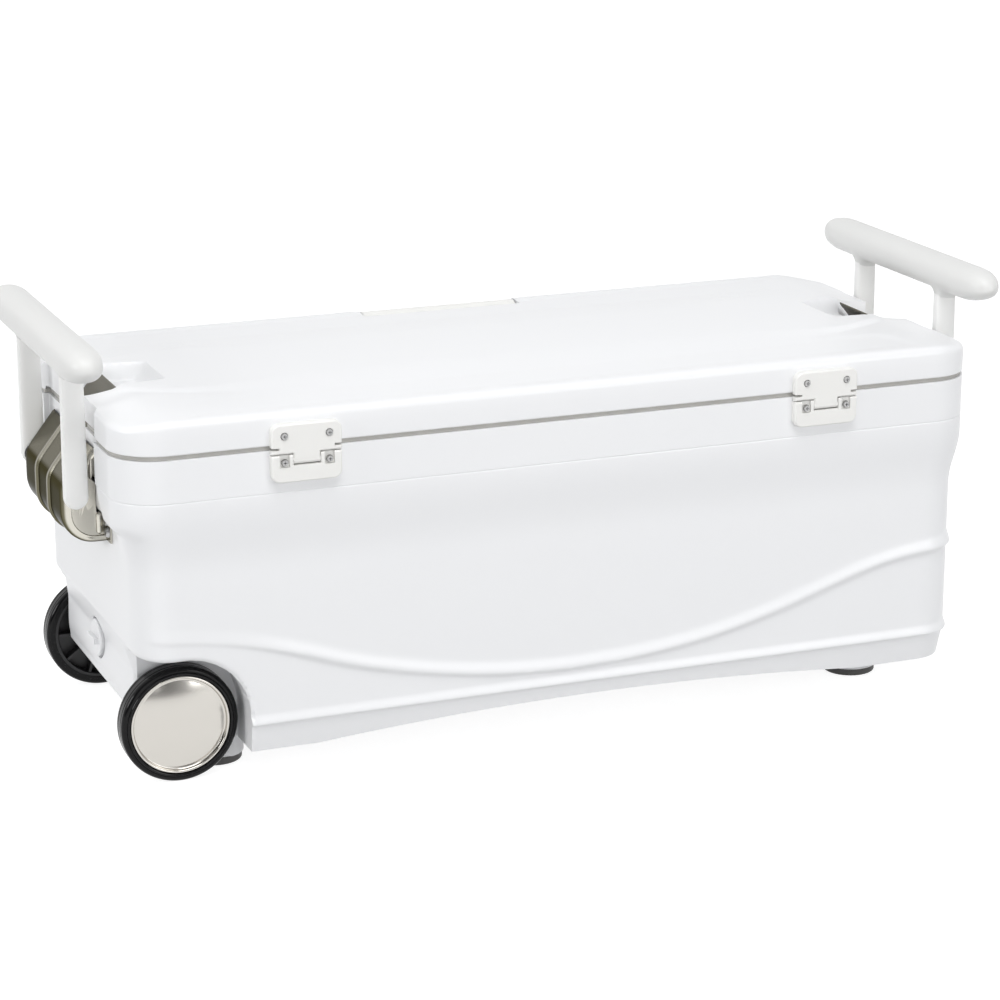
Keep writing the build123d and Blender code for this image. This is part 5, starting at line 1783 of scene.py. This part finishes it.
@dataclass
class Fasteners(Group):
    """All screws and bolts, set by one tree."""

    tree: ScrewTree
    hinge_x: float = 289.6
    screw_step: float = 23.5
    lid_screw_z: float = 365.0
    keeper_z: float = 337.0
    keeper_x: float = 40.0
    small_head: Pair = (3.9, 2.4)
    small_cross: float = 1.1
    large_cross: float = 1.4

    def group(self, name: str, node: str, body: str, points: Sequence[Point], turn: Point,
              head: Pair, shank: Pair, cross: float) -> None:
        """Build one group of equal screws.

        Args:
            name: Piece name.
            node: CAD node that it stands for.
            body: Body that it rides on.
            points: Middle of each head.
            turn: Rotation that points the head outwards, in degrees.
            head: Radius and height of the head.
            shank: Radius and length of the shank.
            cross: Width of the recess.
        """
        made = Maker.piece(name, points, [])
        self.tree.apply(made, {
            "Head radius": head[0] * MM, "Head height": head[1] * MM, "Shank radius": shank[0] * MM,
            "Shank length": shank[1] * MM, "Cross width": cross * MM,
            "Turn": tuple(math.radians(t) for t in turn), "Finish": self.finishes.screw})
        dress(Maker.shade(made, 35.0), self.finishes.screw, "fastener_steel", body, node)

    def build(self) -> None:
        """Build all groups."""
        sides = [s * self.hinge_x + t * self.screw_step for s in (-1, 1) for t in (-1, 1)]
        low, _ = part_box("hinge_lid_screws")
        body_low, body_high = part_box("hinge_body_screws")
        level = (body_low.z + body_high.z) / 2 / MM
        for part, body, z in (("lid", "lid", self.lid_screw_z), ("body", "chest", level)):
            self.group(f"{part}_hinge_screws", f"hinge_{part}_screws", body,
                       [(x, low.y / MM, z) for x in sides], (90, 0, 0), self.small_head, (1.9, 14.0),
                       self.small_cross)
        _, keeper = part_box("keeper_screws")
        face = keeper.y / MM - self.small_head[1]
        self.group("keeper_pins", "keeper_screws", "chest",
                   [(x, face, self.keeper_z) for x in (-self.keeper_x, self.keeper_x)], (-90, 0, 0),
                   self.small_head, (1.9, 13.0), self.small_cross)
        feet = [(x, y, 4.5) for x in (-366, 380) for y in (-113, 113)]
        self.group("foot_bolts", "foot_screws", "chest", feet, (180, 0, 0), (5.0, 3.0),
                   (2.5, 31.0), self.large_cross)
        for end in End:
            word = end.name.lower()
            spots = [(end.value * 464.3, side * 90.5, z) for side in (-1, 1) for z in (249, 261)]
            self.group(f"bracket_rivets_{word}", f"bracket_bolts_{word}", "chest", spots,
                       (0, 90 * end.value, 0), (5.4, 3.4), (3.0, 16.0), self.large_cross)


@dataclass
class Studio:
    """Camera, pale floor and soft light."""

    target: Point = (0.72, 0.0, 208.12)
    azimuth: float = -21.78
    elevation: float = 16.35
    distance: float = 3333.2
    lens: float = 108.876
    floor_half: float = 9000.0
    backward: Point = (0.55, 0.835, 0.0)
    mirrored_from: Pair = (-0.85, -0.35)
    far_side: Pair = (0.1, 0.8)
    light: Pair = (0.38, 0.85)
    mirrored_dark: float = 0.07

    @staticmethod
    def aim(made: bpy.types.Object, place: Vector, along: Vector) -> None:
        """Put a camera or lamp at a place, looking along a direction.

        Args:
            made: The camera or lamp.
            place: Where it stands.
            along: Where it looks.
        """
        made.location = place
        made.rotation_mode = "QUATERNION"
        made.rotation_quaternion = along.to_track_quat("-Z", "Y")

    def camera(self) -> None:
        """Set the camera at the photograph's viewing angle."""
        a, e = math.radians(self.azimuth), math.radians(self.elevation)
        back = Vector((math.sin(a) * math.cos(e), -math.cos(a) * math.cos(e), math.sin(e)))
        data = bpy.data.cameras.new("view")
        data.lens = self.lens
        data.sensor_width = 36.0
        data.clip_start = 0.05
        data.clip_end = 100.0
        made = Maker.link("view", data)
        self.aim(made, (Vector(self.target) + back * self.distance) * MM, -back)
        bpy.context.scene.camera = made

    def lamp(self, name: str, place: Point, height: float, size: Pair, power: float) -> None:
        """Add one soft area lamp.

        Args:
            name: Lamp name.
            place: Where it hangs, in metres.
            height: Height over the origin that it points at.
            size: Width and height.
            power: Watts.
        """
        data = bpy.data.lights.new(name, "AREA")
        data.shape = "RECTANGLE"
        data.size, data.size_y = size
        data.energy = power
        self.aim(Maker.link(name, data), Vector(place), Vector((0.0, 0.0, height)) - Vector(place))

    def world(self) -> None:
        """Pale surroundings, brighter on the far side of the object.

        The camera sees plain white. Mirrored rays see white behind the object and dark elsewhere.
        """
        shader = Shader(bpy.data.worlds.new("studio"))
        bpy.context.scene.world = shader.owner
        where = shader.get("ShaderNodeTexCoord", key="Generated")
        glossy = shader.ray("Glossy")
        turned = shader.get("ShaderNodeVectorMath", {"operation": "DOT_PRODUCT"},
                            {0: where, 1: self.backward}, "Value")
        mirrored = glossy * shader.ramp(turned, self.mirrored_from)
        depth = shader.get("ShaderNodeSeparateXYZ", {}, {0: where}, "Y")
        soft = shader.ramp(depth, self.far_side, self.light)
        level = shader.ramp(glossy, (0.0, 1.0), (soft, self.mirrored_dark))
        dim = shader.get("ShaderNodeBackground", {},
                         {"Color": (0.97, 0.98, 1.0, 1.0), "Strength": level})
        white = shader.get("ShaderNodeBackground", {},
                           {"Color": (1.0, 1.0, 1.0, 1.0), "Strength": 1.0})
        mix = shader.get("ShaderNodeMixShader", {},
                         {0: mirrored.most(shader.ray("Camera", "Transmission")), 1: dim, 2: white})
        shader.node("ShaderNodeOutputWorld", {}, {"Surface": mix})

    def floor(self) -> None:
        """A pale floor that keeps a soft shadow and is white to the camera."""
        half = self.floor_half
        made = Maker.piece("floor", [(-half, -half, 0), (half, -half, 0), (half, half, 0),
                                     (-half, half, 0)], [(0, 1, 2, 3)])
        shader = Shader(bpy.data.materials.new("floor_white"))
        flat = shader.get("ShaderNodeBsdfDiffuse", {}, {"Color": (0.58, 0.58, 0.58, 1.0)})
        faint = shader.get("ShaderNodeBsdfDiffuse", {}, {"Color": (0.45, 0.45, 0.45, 1.0)})
        glow = shader.get("ShaderNodeEmission", {},
                          {"Color": (0.86, 0.86, 0.86, 1.0), "Strength": 1.0})
        both = shader.get("ShaderNodeAddShader", {}, {0: faint, 1: glow})
        mix = shader.get("ShaderNodeMixShader", {},
                         {0: shader.ray("Camera", "Glossy", "Transmission"), 1: flat, 2: both})
        shader.node("ShaderNodeOutputMaterial", {}, {"Surface": mix})
        made.data.materials.append(shader.owner)

    def build(self) -> None:
        """Set up camera, world, floor and lamps."""
        self.camera()
        self.world()
        self.floor()
        self.lamp("key", (-0.3, -1.64, 3.28), 0.25, (2.4, 1.8), 61.0)
        self.lamp("front", (2.4, -4.2, 1.3), 0.2, (2.2, 1.8), 42.0)
        self.lamp("fill", (-1.5, -5.4, 1.5), 0.2, (2.6, 2.0), 32.0)
        self.lamp("rear_end", (-4.2, -0.6, 1.6), 0.2, (1.4, 1.2), 48.0)
        bpy.context.scene.view_settings.view_transform = "Standard"


def main() -> None:
    """Build the cooler piece by piece and set the studio round it."""
    logging.basicConfig(level=logging.INFO, format="%(name)s: %(message)s")
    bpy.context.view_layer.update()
    finishes = Finishes()
    Studio().build()
    Chest(finishes).build()
    Lid(finishes).build()
    Hinges(finishes).build()
    Latch(finishes).build()
    for end in End:
        Bracket(finishes, end).build()
        Handle(finishes, end).build()
    spokes = SpokeTree()
    for side in Side:
        Wheel(finishes, side, spokes).build()
    Axle(finishes).build()
    Fasteners(finishes, ScrewTree()).build()
    bpy.context.view_layer.update()


if __name__ == "__main__":
    main()
